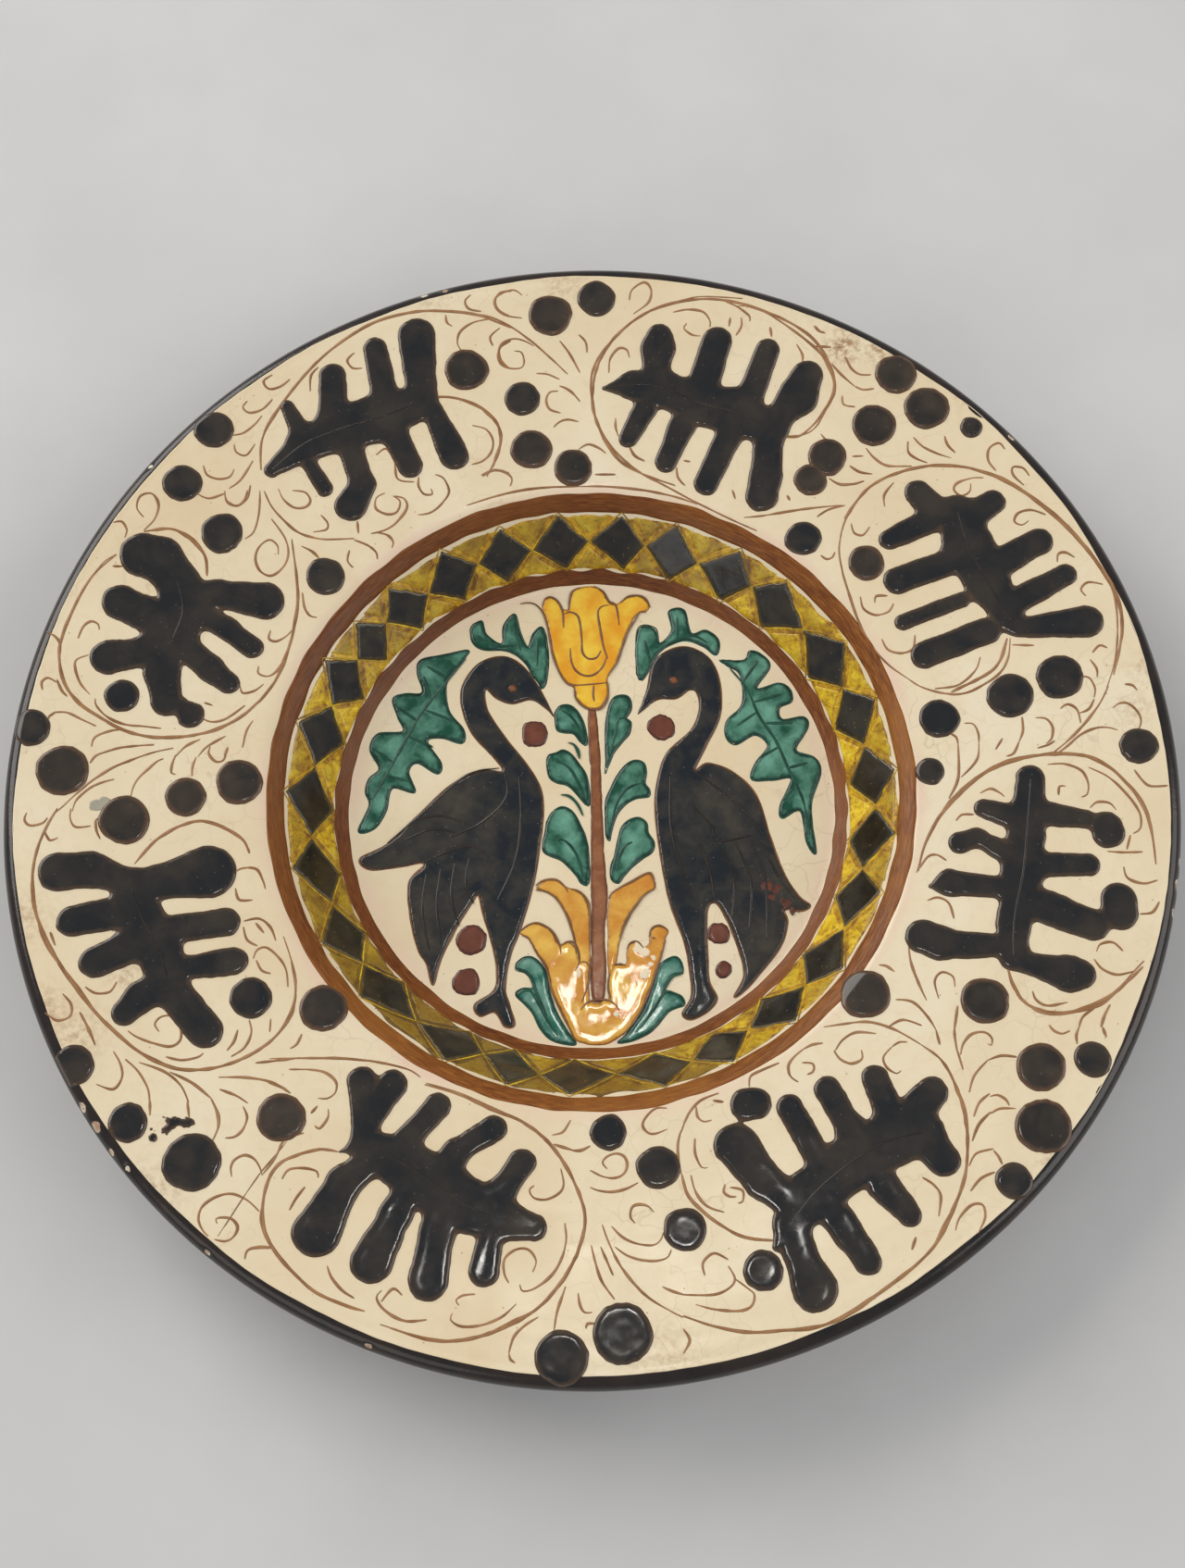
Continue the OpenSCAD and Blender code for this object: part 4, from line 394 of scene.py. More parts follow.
PETAL_LINES = [points(row) for row in [
    [-19.5,-28.6, -17,-26.7, -12.5,-26.3, -9.6,-28.4, -8,-31], [-19.5,-30, -15.6,-30.8, -12,-33.4,
    -8.6,-39, -6.2,-46, -5,-53], [-7,-29.6, -4,-30.6, -1.6,-33.4, -0.4,-38, -0.2,-50], [-25,-45.2,
    -22,-42.8, -18.5,-42, -14,-44.4, -11.4,-48.4, -10.2,-53], [-24,-46.6, -21.6,-47.6, -18.6,-53,
    -15.4,-58, -13.4,-66, -9.4,-75, -5.4,-82.6], [-10.6,-50.6, -8.6,-48.8, -6,-48.9, -4.4,-51.6,
    -4,-56, -5.4,-59], [-4,-56, -1.6,-56, -0.2,-58.6, -1,-64, -3,-70], [6,-33.2, 8,-30.6, 13,-27.6,
    19.8,-23.9, 21.6,-25, 22.4,-29.2], [22.4,-29.6, 18.6,-32, 14.2,-38, 11.8,-43, 10.2,-48],
    [20.2,-47, 21.2,-44, 24,-42.8, 26.8,-44.4], [12.6,-51.4, 13.6,-49.2, 16,-48.6, 18,-50.6],
    [8,-57, 10.4,-56.6, 12,-57.2], [6.4,-60, 6,-65, 7,-69], [-3.4,-72.8, -1.4,-70.4, 1.6,-69.2,
    5.4,-69.2, 8.2,-70.6, 10,-73], [26,-48, 24.6,-53, 22.4,-60, 19.6,-68, 15.6,-76, 11,-81.6],
    [21,-47, 22.6,-47.6]
]]
FLAKES = points([
    16.5,-51,1.6, 18.5,-52.5,1.8, 16,-50,1.3, 18.6,-60,1.7, 21.4,-54.5,1.1, -4.4,-59.8,1.2,
    8.6,-74.2,0.8, 20.6,-57,0.9
], 3)
GRAZES = points([
    61.5,-28.5,2.2, 64.5,-30,1.6, 63,-32.5,1.5, 68,-35,1.8, 70.5,-37.2,1.2, 66.5,-28,0.9
], 3)
BIRD_LINES = [points(row) for row in [
    [-33,15, -45,12, -60,-2, -72,-13], [-31,13, -30,6, -33,0, -40,-6, -50,-11], [-59,-20, -50,-16,
    -42,-14, -36,-18], [-58,-24, -59,-38, -56,-52], [-53,-22, -54,-36, -52,-50], [-48,-20, -49,-32,
    -46,-43], [-43,-18, -44,-28, -41,-35], [-66,-12, -57,-8, -48,-9], [-61,-4, -53,-3, -44,-6],
    [35,2, 42,-6, 45,-12, 57,-10], [38,-12, 42,-25, 43,-33], [46,-14, 50,-27, 49,-40], [51,-13,
    56,-27, 55,-44], [56,-12, 61,-26, 61,-48], [36,14, 44,8, 55,-2, 62,-12], [60,-12, 65,-24,
    71,-33], [-26,12, -25,-4, -27,-20, -33,-34], [28,12, 28,-6, 31,-20, 36,-34]
]]
EYES = points([
    -28.8,45.4, 29.5,48.5
])
BROWN_AT = points([
    -15.5,180, -46,158.5, -22,128, -7,121, -180.5,3.5, -158.5,-13.5, -138.5,-4.5, -121,1.5,
    -88.5,-77.5, -100,-114.5, 91.5,-72.5, 130.5,-75.5, 147,-98, 146.5,-117.5, 97.5,83, 84.5,123.5,
    78.5,115, 101.5,135, 110,154.5, 120.5,141
])
SCRATCH = points([-117.5,-153, -114,-147, -110,-140, -105,-132, -100,-125.5, -97.5,-122])
SPLASH = points([
    -138,-118.5, -136,-117.5, -137.5,-115, -135,-114.5, -132,-115.5, -129,-115, -127.5,-117,
    -130,-118.5, -133,-118, -136,-121
])
# Stains in the cream glaze: x, y, radius and strength.
STAINS = points([
    91.5,166,9,1.0, 104,165,8,0.8, -153.5,-68,7,0.5, -190,-50,12,0.5, -168,-88,12,0.45,
    -140,-140,12,0.6, 112,160,9,0.8, 190,40,7,0.4, -12,193,10,0.4, 186,25,8,0.4, -60,186,9,0.3,
    25,-191,14,0.3, -92,-52,6,0.3, 80,182,6,0.5, 137,146,8,0.6, -178,-80,10,0.5, 150,-128,9,0.5
], 4)
# Chips in the lip: angle round the plate in radians, size, and degrees up the lip's round.
CHIPS = points([
    6.05,2.6,20, 6.1,3.0,25, 6.14,2.2,15, 3.74,3.0,40, 3.78,3.4,50, 3.83,2.2,35, 3.87,1.8,55,
    4.06,1.7,40, 4.36,2.0,40, 1.85,2.0,55, 1.89,2.2,50, 0.71,2.2,55, 2.5,1.8,60
], 3)

# ---------------------------------------------------------------- the profile
TAU, MM = 2 * math.pi, 0.001
COAT = 0.6          # the slip, and the glaze on the back
EDGE_R = 198.8      # the dots at the lip stop here
# The lip's round: the circle that its middle lies on, that circle's height, and its own radius.
SLIP_R, LIP_Z, LIP_R = 195.5, 44.0, 4.5
FACE = [(0, 15), (85.5, 15), (88, 16), (90.5, 18.25), (105, 34.25), (108.5, 37.25),
        (112, 39.25), (116, 40), (SLIP_R, 48.5), (215, 50.6)]
BACK = [(0, 6), (83, 6), (90, 9), (100, 16), (118, 31.5), (124, 32.9), (190, 39.9), (200, 41)]
TABLE_STEP, TABLE_REACH = 0.25, 40


def softened(line, sigma):
    """A profile with its corners rounded, as a table of heights."""
    r = np.arange(0, 215, TABLE_STEP)
    z = np.interp(r, *np.array(line).T)
    kernel = np.exp(-0.5 * (np.arange(-TABLE_REACH, TABLE_REACH + 1) * TABLE_STEP / sigma) ** 2)
    return r, np.convolve(np.pad(z, TABLE_REACH, mode="edge"), kernel / kernel.sum(), "valid")


FACE_TABLE, BACK_TABLE = softened(FACE, 1.3), softened(BACK, 2.2)


def face_z(r):
    return np.interp(r, *FACE_TABLE)


def back_z(r):
    return np.interp(r, *BACK_TABLE)


def skin_z(r):
    """Height of the painted skin: the face, then over the round of the lip."""
    over = np.clip(r - SLIP_R, 0, 4.2)
    return np.where(r > SLIP_R, LIP_Z + np.sqrt(LIP_R ** 2 - over ** 2), face_z(np.minimum(r, SLIP_R)))


def lip_arc(radius, degrees):
    """Profile points round the lip."""
    return [(SLIP_R + radius * math.cos(t), LIP_Z + radius * math.sin(t), 0) for t in np.radians(degrees)]


def ripple(x, y, size, seed):
    """Smooth noise of about -1 to 1, with features of that size in mm."""
    rng = np.random.default_rng(seed)
    total = 0
    for _ in range(7):
        a, f = rng.uniform(0, TAU), TAU / size * rng.uniform(0.55, 1.3)
        total = total + np.sin(f * (x * math.cos(a) + y * math.sin(a)) + rng.uniform(0, TAU))
    return total / 3.6


def wave(angle, seed, low, high, count=9):
    """Noise round the plate, of about -1 to 1."""
    rng = np.random.default_rng(seed)
    total = 0
    for _ in range(count):
        bend = np.sin(rng.integers(low, high) * angle + rng.uniform(0, TAU))
        total = total + bend * rng.uniform(0.4, 1)
    return total / math.sqrt(count)


def thrown(v):
    """The slight warp of a thrown and fired plate: its rim isn't quite round or flat."""
    x, y, z = v.T
    a = np.arctan2(y, x)
    far = np.clip((np.hypot(x, y) - 90) / 110, 0, 1) ** 2
    scale = 1 + 0.0010 * np.sin(2 * a + 1.1) * far
    lift = (0.38 * np.sin(2 * a + 0.7) + 0.16 * np.sin(3 * a + 2)) * far
    return np.stack([x * scale, y * scale, z + lift], 1)


# ---------------------------------------------------------------- meshes
def grid(n, m):
    """Every i below n with every j below m, as two flat arrays."""
    return [g.ravel() for g in np.meshgrid(np.arange(n), np.arange(m))]


def lofted(i, j, n, m):
    """Quads between rows of m points, from row i to the row after it, round to the first."""
    i2, j2 = (i + 1) % n, (j + 1) % m
    return np.stack([i * m + j, i * m + j2, i2 * m + j2, i2 * m + j], 1)


class Mesh:
    """Vertices, faces and per-vertex values, gathered before they become one piece."""

    def __init__(self):
        self.v, self.f, self.values, self.n = [], [], {}, 0

    def add(self, v, faces, **values):
        self.v.append(np.asarray(v, float))
        self.f += [np.asarray(f, np.int64) + self.n for f in faces if len(f)]
        for name, given in values.items():
            self.values.setdefault(name, []).append(np.asarray(given, float))
        self.n += len(v)

    def piece(self, name, material, slot, nodes=()):
        me = bpy.data.meshes.new(name)
        co = thrown(np.concatenate(self.v)) * MM
        me.vertices.add(len(co))
        me.vertices.foreach_set("co", co.astype(np.float32).ravel())
        loops = np.concatenate([f.ravel() for f in self.f]).astype(np.int32)
        sizes = np.concatenate([np.full(len(f), f.shape[1]) for f in self.f])
        me.loops.add(len(loops))
        me.loops.foreach_set("vertex_index", loops)
        me.polygons.add(len(sizes))
        me.polygons.foreach_set("loop_start", (np.cumsum(sizes) - sizes).astype(np.int32))
        me.update(calc_edges=True)
        me.validate()
        me.shade_smooth()
        for key, rows in self.values.items():
            data = np.concatenate(rows).astype(np.float32)
            kind, part = ("FLOAT", "value") if data.ndim == 1 else ("FLOAT_VECTOR", "vector")
            me.attributes.new(key, kind, "POINT").data.foreach_set(part, data.ravel())
        me.materials.append(material)
        ob = bpy.data.objects.new(name, me)
        bpy.context.scene.collection.objects.link(ob)
        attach(ob, "root")
        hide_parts(*nodes)


def turned(mesh, profile, n, shift=None, closed=True):
    """A turned shape: profile points (r, z, share of the edge's wander).

    Open ones start and end on the axis."""
    p = np.array(profile, float)
    a = np.linspace(0, TAU, n, endpoint=False)
    wander = shift(a) if shift else np.zeros(n)
    poles = [] if closed else [[0, 0, p[0][1]], [0, 0, p[-1][1]]]
    if not closed:
        p = p[1:-1]
    r = p[None, :, 0] + wander[:, None] * p[None, :, 2]
    z = np.broadcast_to(p[None, :, 1], r.shape)
    v = np.stack([r * np.cos(a)[:, None], r * np.sin(a)[:, None], z], -1).reshape(-1, 3)
    m = len(p)
    i, j = np.meshgrid(np.arange(n), np.arange(m if closed else m - 1), indexing="ij")
    faces = [lofted(i.ravel(), j.ravel(), n, m)]
    if poles:
        v = np.concatenate([v, poles])
        k = np.arange(n)
        faces += [np.stack([np.full(n, n * m), k * m, (k + 1) % n * m], 1),
                  np.stack([np.full(n, n * m + 1), (k + 1) % n * m + m - 1, k * m + m - 1], 1)]
    mesh.add(v, faces)
    return v


def curve(line, step, closed=False):
    """A smooth line through given points (Catmull-Rom)."""
    p = np.array(line, float)
    m = len(p)
    out = []
    for i in range(m if closed else m - 1):
        if closed:
            a, b, c, d = p[i - 1], p[i], p[(i + 1) % m], p[(i + 2) % m]
        else:
            a, b, c, d = p[max(i - 1, 0)], p[i], p[i + 1], p[min(i + 2, m - 1)]
        t = np.linspace(0, 1, max(2, int(np.hypot(*(c - b)[:2]) / step) + 1))[:-1, None]
        out.append(0.5 * (2 * b + (c - a) * t + (2 * a - 5 * b + 4 * c - d) * t * t
                          + (3 * b - a - 3 * c + d) * t ** 3))
    return np.concatenate(out + ([] if closed else [p[-1:]]))


def inside(outline):
    """A field: how far a point lies inside a drawn outline, in mm."""
    ring = curve(outline, 1.2, closed=True)

    def field(x, y):
        far, odd = np.full(x.shape, 1e9), np.zeros(x.shape, bool)
        for (ax, ay), (bx, by) in zip(ring, np.roll(ring, -1, 0)):
            ex, ey = bx - ax, by - ay
            t = np.clip(((x - ax) * ex + (y - ay) * ey) / (ex * ex + ey * ey + 1e-12), 0, 1)
            far = np.minimum(far, (x - ax - t * ex) ** 2 + (y - ay - t * ey) ** 2)
            if ay != by:
                odd ^= ((ay > y) != (by > y)) & (x < ex * (y - ay) / ey + ax)
        return np.sqrt(far) * np.where(odd, 1, -1)
    return field


def brushed(strokes):
    """A field: brush strokes, tapered capsules that run together where they meet."""
    run = 2.4

    def field(x, y):
        total = np.full(x.shape, -1e3)
        for s in strokes:
            for (ax, ay, ar), (bx, by, br) in zip(s[:-1], s[1:]):
                ex, ey = bx - ax, by - ay
                t = np.clip(((x - ax) * ex + (y - ay) * ey) / (ex * ex + ey * ey), 0, 1)
                d = ar + (br - ar) * t - np.hypot(x - ax - t * ex, y - ay - t * ey)
                blend = np.maximum(run - np.abs(total - d), 0) / run
                total = np.maximum(total, d) + blend * blend * run / 4
        return total
    return field


def round_spots(spots):
    return lambda x, y: np.max([r - np.hypot(x - a, y - b) for a, b, r in spots], axis=0)


def both(*fields):
    return lambda x, y: np.maximum.reduce([f(x, y) for f in fields])


def any_of(outlines):
    return both(*(inside(p) for p in outlines))


def clear(field, other, gap):
    return lambda x, y: np.minimum(field(x, y), -other(x, y) - gap)


def shaky(field, seed, by, size=8):
    return lambda x, y: (field(x, y) + by * ripple(x, y, size, seed)
                         + 0.4 * by * ripple(x, y, size / 3, seed + 1))


def patch(x, y, spots):
    """Soft round patches: x, y, radius and strength."""
    return np.max([s * np.exp(-((x - a) ** 2 + (y - b) ** 2) / (w * w)) for a, b, w, s in spots], axis=0)


def thinned(base, gain, size, seed, spots=()):
    """How thin an enamel lies: a base, blotches of a size, and thin patches."""
    def wash(x, y):
        thin = base + gain * ripple(x, y, size, seed)
        return thin + patch(x, y, points(spots, 4)) if spots else thin
    return wash


def clipped(box, field, cell):
    """Polygons that cover the part of a box where the field is above nought."""
    x0, y0, x1, y1 = box
    xs, ys = np.arange(x0, x1 + cell, cell), np.arange(y0, y1 + cell, cell)
    x, y = (g.ravel() for g in np.meshgrid(xs, ys))
    nx, ny, n = len(xs), len(ys), len(x)
    d = field(x, y)
    gy, gx = np.gradient(d.reshape(ny, nx), cell)
    gx, gy = gx.ravel(), gy.ravel()
    steep = gx * gx + gy * gy
    near = (np.abs(d) < 0.3 * cell) & (steep > 0.2)
    x[near] -= (d * gx / np.maximum(steep, 0.2))[near]
    y[near] -= (d * gy / np.maximum(steep, 0.2))[near]
    d[near] = 0
    i, j = (g.ravel() for g in np.meshgrid(np.arange(nx - 1), np.arange(ny - 1)))
    a = j * nx + i
    quads = np.stack([a, a + 1, a + nx + 1, a + nx], 1)
    whole = (d[quads] > 0).all(1)
    rest = quads[~whole & (d[quads] > 0).any(1)]
    tri = np.concatenate([rest[:, [0, 1, 2]], rest[:, [0, 2, 3]]])
    sign = np.sign(d[tri]).astype(int)
    some = (sign > 0).any(1)
    tri, sign = tri[some], sign[some]
    code = (sign + 1) @ [9, 3, 1]
    polys = {3: [], 4: [quads[whole] * (n + 1)]}
    for c in np.unique(code):
        t, s = tri[code == c], sign[code == c][0]
        cols = []
        for p in range(3):
            q = (p + 1) % 3
            if s[p] >= 0:
                cols.append(t[:, p] * (n + 1))
            if s[p] * s[q] < 0:
                cols.append(np.minimum(t[:, p], t[:, q]) * n + np.maximum(t[:, p], t[:, q]))
        polys[len(cols)].append(np.stack(cols, 1))
    polys = [np.concatenate(p) for p in polys.values() if len(p)]
    keys, flat = np.unique(np.concatenate([p.ravel() for p in polys]), return_inverse=True)
    u, v = keys // n, keys % n
    t = np.where(u == v, 0, d[u] / np.where(u == v, 1, d[u] - d[v]))
    faces, at = [], 0
    for p in polys:
        faces.append(flat[at:at + p.size].reshape(p.shape))
        at += p.size
    return x[u] + t * (x[v] - x[u]), y[u] + t * (y[v] - y[u]), faces


def relief(mesh, box, field, height, round_w=1.1, cell=0.5, lift=0.0, sink=0.35, lumps=0.014,
           seed=1, wash=None):
    """A raised patch of enamel over the face, with rounded edges."""
    x, y, faces = clipped(box, field, cell)
    m = len(x)
    d = np.maximum(field(x, y), 0)
    t = np.clip(d / round_w, 0, 1)
    pool = 0.05 * height * np.exp(-((d - 1.6 * round_w) / round_w) ** 2)
    bumps = lumps * np.clip(d / 2, 0, 1) * (ripple(x, y, 11, seed) + 0.25 * ripple(x, y, 4.5, seed + 7))
    base = skin_z(np.hypot(x, y)) + lift
    top = base + height * np.sqrt(1 - (1 - t) ** 2) + pool * t + bumps
    pairs = np.concatenate([np.stack([f, np.roll(f, -1, 1)], -1).reshape(-1, 2) for f in faces])
    key, back = pairs @ [m, 1], pairs @ [1, m]
    p, q = pairs[~np.isin(key, back)].T
    v = np.concatenate([np.stack([x, y, top], 1), np.stack([x, y, base - sink], 1)])
    thin = np.zeros(m) if wash is None else np.clip(wash(x, y), 0, 1)
    sides = np.stack([q, p, p + m, q + m], 1)
    mesh.add(v, faces + [f[:, ::-1] + m for f in faces] + [sides],
             edge=np.tile(np.minimum(d, 6), 2), wash=np.tile(thin, 2))


# A brush line's cross-section: shares of its half width, and of its height.
SPANS, RISE = np.array((-1, -0.6, 0, 0.6, 1)), np.array((-0.12, 0.72, 1, 0.72, -0.12))


def ribbon(mesh, line, width, height, lift, taper, seed):
    """A thin brush line laid on the face, fine at its ends."""
    p = curve(line, 0.7)
    n, m = len(p), len(SPANS)
    if n < 3:
        return
    k = np.arange(n)
    way = p[np.minimum(k + 1, n - 1)] - p[np.maximum(k - 1, 0)]
    way /= np.maximum(np.hypot(*way.T), 1e-9)[:, None]
    side = np.stack([-way[:, 1], way[:, 0]], 1)
    s = np.linspace(0, 1, n)
    ends = np.clip(np.minimum(s, 1 - s) / taper, 0, 1) ** 0.6
    half = 0.5 * width * (0.35 + 0.65 * ends) * (1 + 0.16 * ripple(*p.T, 6, seed + 5))
    at = p[:, None, :] + side[:, None, :] * (half[:, None, None] * SPANS[None, :, None])
    z = face_z(np.hypot(at[..., 0], at[..., 1])) + lift + height * RISE[None, :]
    v = np.concatenate([at, z[..., None]], -1).reshape(-1, 3)
    i, j = grid(n - 1, m)
    j2 = (j + 1) % m
    start = np.arange(m)[None]
    faces = [np.stack([i * m + j, (i + 1) * m + j, (i + 1) * m + j2, i * m + j2], 1),
             start, start[:, ::-1] + (n - 1) * m]
    tone = 0.5 + 0.5 * ripple(*p.T, 14, seed + 9)
    mesh.add(v, faces, edge=np.full(m * n, 1.0), wash=np.repeat(tone, m))


# ---------------------------------------------------------------- materials
class Paint:
    """A material, with short calls for the nodes that its glaze is mixed from."""

    def __init__(self, name):
        self.material = bpy.data.materials.new(name)
        self.material.use_nodes = True
        self.tree = self.material.node_tree
        self.shader = self.tree.nodes["Principled BSDF"]
        self.where = self.node("TexCoord").outputs["Object"]

    def feed(self, socket, value):
        if isinstance(value, bpy.types.NodeSocket):
            self.tree.links.new(value, socket)
        else:
            socket.default_value = value

    def node(self, kind, inputs=None, **settings):
        n = self.tree.nodes.new("ShaderNode" + kind)
        for key, value in settings.items():
            setattr(n, key, value)
        for key, value in (inputs or {}).items():
            self.feed(n.inputs[key], value)
        return n

    def ramp(self, fac, *stops):
        n = self.node("ValToRGB", {"Fac": fac})
        e = n.color_ramp.elements
        while len(e) < len(stops):
            e.new(0.5)
        for item, (at, colour) in zip(e, stops):
            item.position = at
            item.color = (*colour, 1)
        return n.outputs["Color"]

    def grey(self, fac, *stops):
        return self.ramp(fac, *((at, (v, v, v)) for at, v in stops))

    def mix(self, fac, a, b, kind="MIX"):
        n = self.node("Mix", data_type="RGBA", blend_type=kind)
        for index, value in ((0, fac), (6, a), (7, b)):
            ready = isinstance(value, (float, bpy.types.NodeSocket))
            self.feed(n.inputs[index], value if ready else (*value, 1))
        return n.outputs[2]

    def over(self, body, colour, mask, *stops):
        """The body with a colour over it, as far as the mask's stops say."""
        return self.mix(self.grey(mask, *stops), body, colour)

    def noise(self, scale, detail=4.0, rough=0.55, distort=0.0, where=None):
        return self.node("TexNoise", {"Vector": where or self.where, "Scale": scale, "Detail": detail,
                                      "Roughness": rough, "Distortion": distort}).outputs["Fac"]

    def cells(self, scale, where=None, **settings):
        return self.node("TexVoronoi", {"Vector": where or self.where, "Scale": scale},
                         **settings).outputs["Distance"]

    def value(self, name, out="Fac"):
        return self.node("Attribute", attribute_name=name).outputs[out]

    def gloss(self, scale, detail, *stops):
        """Roughness between two values, by a noise."""
        return self.grey(self.noise(scale, detail), *stops)

    def finish(self, colour, rough, height, strength, distance=0.0004):
        bump = self.node("Bump", {"Height": height, "Strength": strength, "Distance": distance})
        for name, value in (("Base Color", colour), ("Roughness", rough), ("Normal", bump.outputs["Normal"])):
            self.feed(self.shader.inputs[name], value)
        return self.material


def enamel(name, deep, pale, fringe, fringe_w, rough, size, spots=0.0, pit_glint_colour=None, bump=0.03):
    """A glossy enamel: deep where it is thick, pale where it is thin, its own colour at the edge."""
    p = Paint(name)
    cloud = p.noise(size, 5.0, 0.6, 0.4)
    # The per-vertex value is how thin the enamel lies; on the checker's diamonds it also carries painted sheen.
    thin = p.mix(0.55, p.value("wash"), p.grey(cloud, (0.35, 0), (0.7, 1)))
    body = p.ramp(thin, (0.12, deep), (0.85, pale))
    frayed = p.grey(p.noise(700.0, 3.0), (0.3, 0), (0.7, 0.5))
    ragged = p.node("Math", {0: p.value("edge"), 1: frayed}, operation="SUBTRACT").outputs[0]
    share = p.node("Math", {0: ragged, 1: fringe_w}, operation="DIVIDE").outputs[0]
    body = p.over(body, fringe, share, (0.15, 1), (0.95, 0))
    if spots:
        # Painted glints: pale specks for pinholes that catch the light.
        body = p.over(body, pit_glint_colour, p.cells(330.0), (0.06, spots), (0.11, 0))
    fine = p.noise(1500.0, 3.0, 0.6)
    gloss = p.gloss(260.0, 4.0, (0.35, rough[0]), (0.75, rough[1]))
    return p.finish(body, gloss, p.mix(0.25, p.noise(330.0, 3.0), fine), bump)


def cream_glaze():
    p = Paint("cream_glaze")
    body = p.ramp(p.noise(13.0, 5.0, 0.6, 0.5), (0.3, (0.77, 0.61, 0.38)), (0.55, (0.83, 0.7, 0.47)),
                  (0.75, (0.87, 0.76, 0.55)))
    body = p.over(body, (0.74, 0.56, 0.34), p.noise(210.0, 6.0, 0.7), (0.5, 0), (0.85, 0.5))
    body = p.over(body, (0.83, 0.6, 0.45), p.value("blush"), (0.0, 0), (1.0, 0.75))
    grain = p.grey(p.noise(420.0, 5.0, 0.7), (0.42, 0), (0.62, 1))
    body = p.mix(p.mix(1.0, p.value("stain"), grain, "MULTIPLY"), body, (0.3, 0.14, 0.05))
    drift = p.node("TexNoise", {"Vector": p.where, "Scale": 60.0}).outputs["Color"]
    cracks = p.cells(85.0, p.mix(0.02, p.where, drift), feature="DISTANCE_TO_EDGE")
    seen = p.grey(p.noise(20.0, 2.0), (0.45, 0), (0.7, 0.38))
    fine = p.mix(1.0, p.grey(cracks, (0.0, 1), (0.022, 0)), seen, "MULTIPLY")
    body = p.mix(fine, body, (0.5, 0.36, 0.22))
    body = p.over(body, (0.36, 0.22, 0.11), p.cells(170.0), (0.035, 0.7), (0.06, 0))
    gloss = p.gloss(55.0, 5.0, (0.35, 0.13), (0.75, 0.3))
    return p.finish(body, gloss, p.mix(0.3, p.noise(45.0, 3.0), p.noise(900.0, 3.0)), 0.2)


def dark_glaze():
    p = Paint("dark_glaze")
    body = p.ramp(p.noise(60.0, 6.0, 0.65), (0.35, (0.008, 0.006, 0.005)), (0.75, (0.035, 0.02, 0.011)))
    under = p.ramp(p.noise(38.0, 6.0, 0.7, 0.6), (0.3, (0.02, 0.009, 0.005)), (0.6, (0.085, 0.028, 0.011)),
                   (0.8, (0.16, 0.055, 0.02)))
    body = p.mix(p.value("wash"), body, under)
    worn = p.grey(p.mix(0.45, p.value("chip"), p.noise(520.0, 5.0, 0.7)), (0.5, 0), (0.56, 1))
    bare = p.ramp(p.noise(150.0), (0.4, (0.42, 0.24, 0.14)), (0.55, (0.72, 0.63, 0.48)))
    body = p.mix(worn, body, bare)
    gloss = p.mix(worn, p.gloss(90.0, 4.0, (0.3, 0.07), (0.7, 0.22)), (0.75, 0.75, 0.75))
    return p.finish(body, gloss, p.mix(0.3, p.noise(120.0), p.noise(1200.0, 3.0)), 0.25)


def bare_clay():
    p = Paint("red_clay")
    body = p.ramp(p.noise(55.0, 7.0, 0.7), (0.3, (0.3, 0.115, 0.05)), (0.6, (0.42, 0.18, 0.085)),
                  (0.8, (0.5, 0.25, 0.13)))
    body = p.over(body, (0.16, 0.07, 0.04), p.cells(420.0), (0.08, 0.6), (0.14, 0))
    body = p.over(body, (0.12, 0.06, 0.04), p.value("wash"), (0.0, 0), (1.0, 0.6))
    rings = p.noise(0.35, 3.0, where=p.value("flow", "Vector"))
    gloss = p.gloss(300.0, 4.0, (0.3, 0.7), (0.7, 0.92))
    return p.finish(body, gloss, p.mix(0.45, rings, p.noise(800.0, 4.0, 0.7)), 0.5, 0.0006)


def band_paint(name, dark, mid, light):
    """A painted band, streaked along its circle by the brush."""
    p = Paint(name)
    streaks = p.noise(0.32, 5.0, 0.62, 0.3, p.value("flow", "Vector"))
    body = p.ramp(streaks, (0.33, dark), (0.5, mid), (0.7, light))
    body = p.over(body, light, p.noise(22.0, 3.0), (0.4, 0), (0.7, 0.55))
    # Painted shade: the per-vertex value darkens the band towards the upper left.
    body = p.over(body, dark, p.value("wash"), (0.0, 0), (1.0, 0.8))
    body = p.over(body, dark, p.noise(650.0, 5.0, 0.7), (0.6, 0), (0.8, 0.5))
    gloss = p.gloss(120.0, 4.0, (0.3, 0.28), (0.7, 0.45))
    p.shader.inputs["Specular IOR Level"].default_value = 0.25
    return p.finish(body, gloss, p.mix(0.4, streaks, p.noise(700.0, 3.0)), 0.3)


def mustard(name, shades, shade_colour):
    p = Paint(name)
    body = p.ramp(p.noise(150.0, 8.0, 0.75, 1.0), *zip((0.38, 0.46, 0.54, 0.63), shades))
    body = p.over(body, (0.15, 0.07, 0.012), p.noise(620.0, 5.0, 0.7), (0.52, 0), (0.7, 0.75))
    # Painted shade: the ground darkens where the per-vertex value says, towards the bottom and the lower left.
    body = p.over(body, shade_colour, p.value("wash"), (0.0, 0), (1.0, 0.85))
    gloss = p.gloss(150.0, 4.0, (0.3, 0.12), (0.7, 0.35))
    return p.finish(body, gloss, p.noise(500.0, 5.0, 0.7), 0.35)


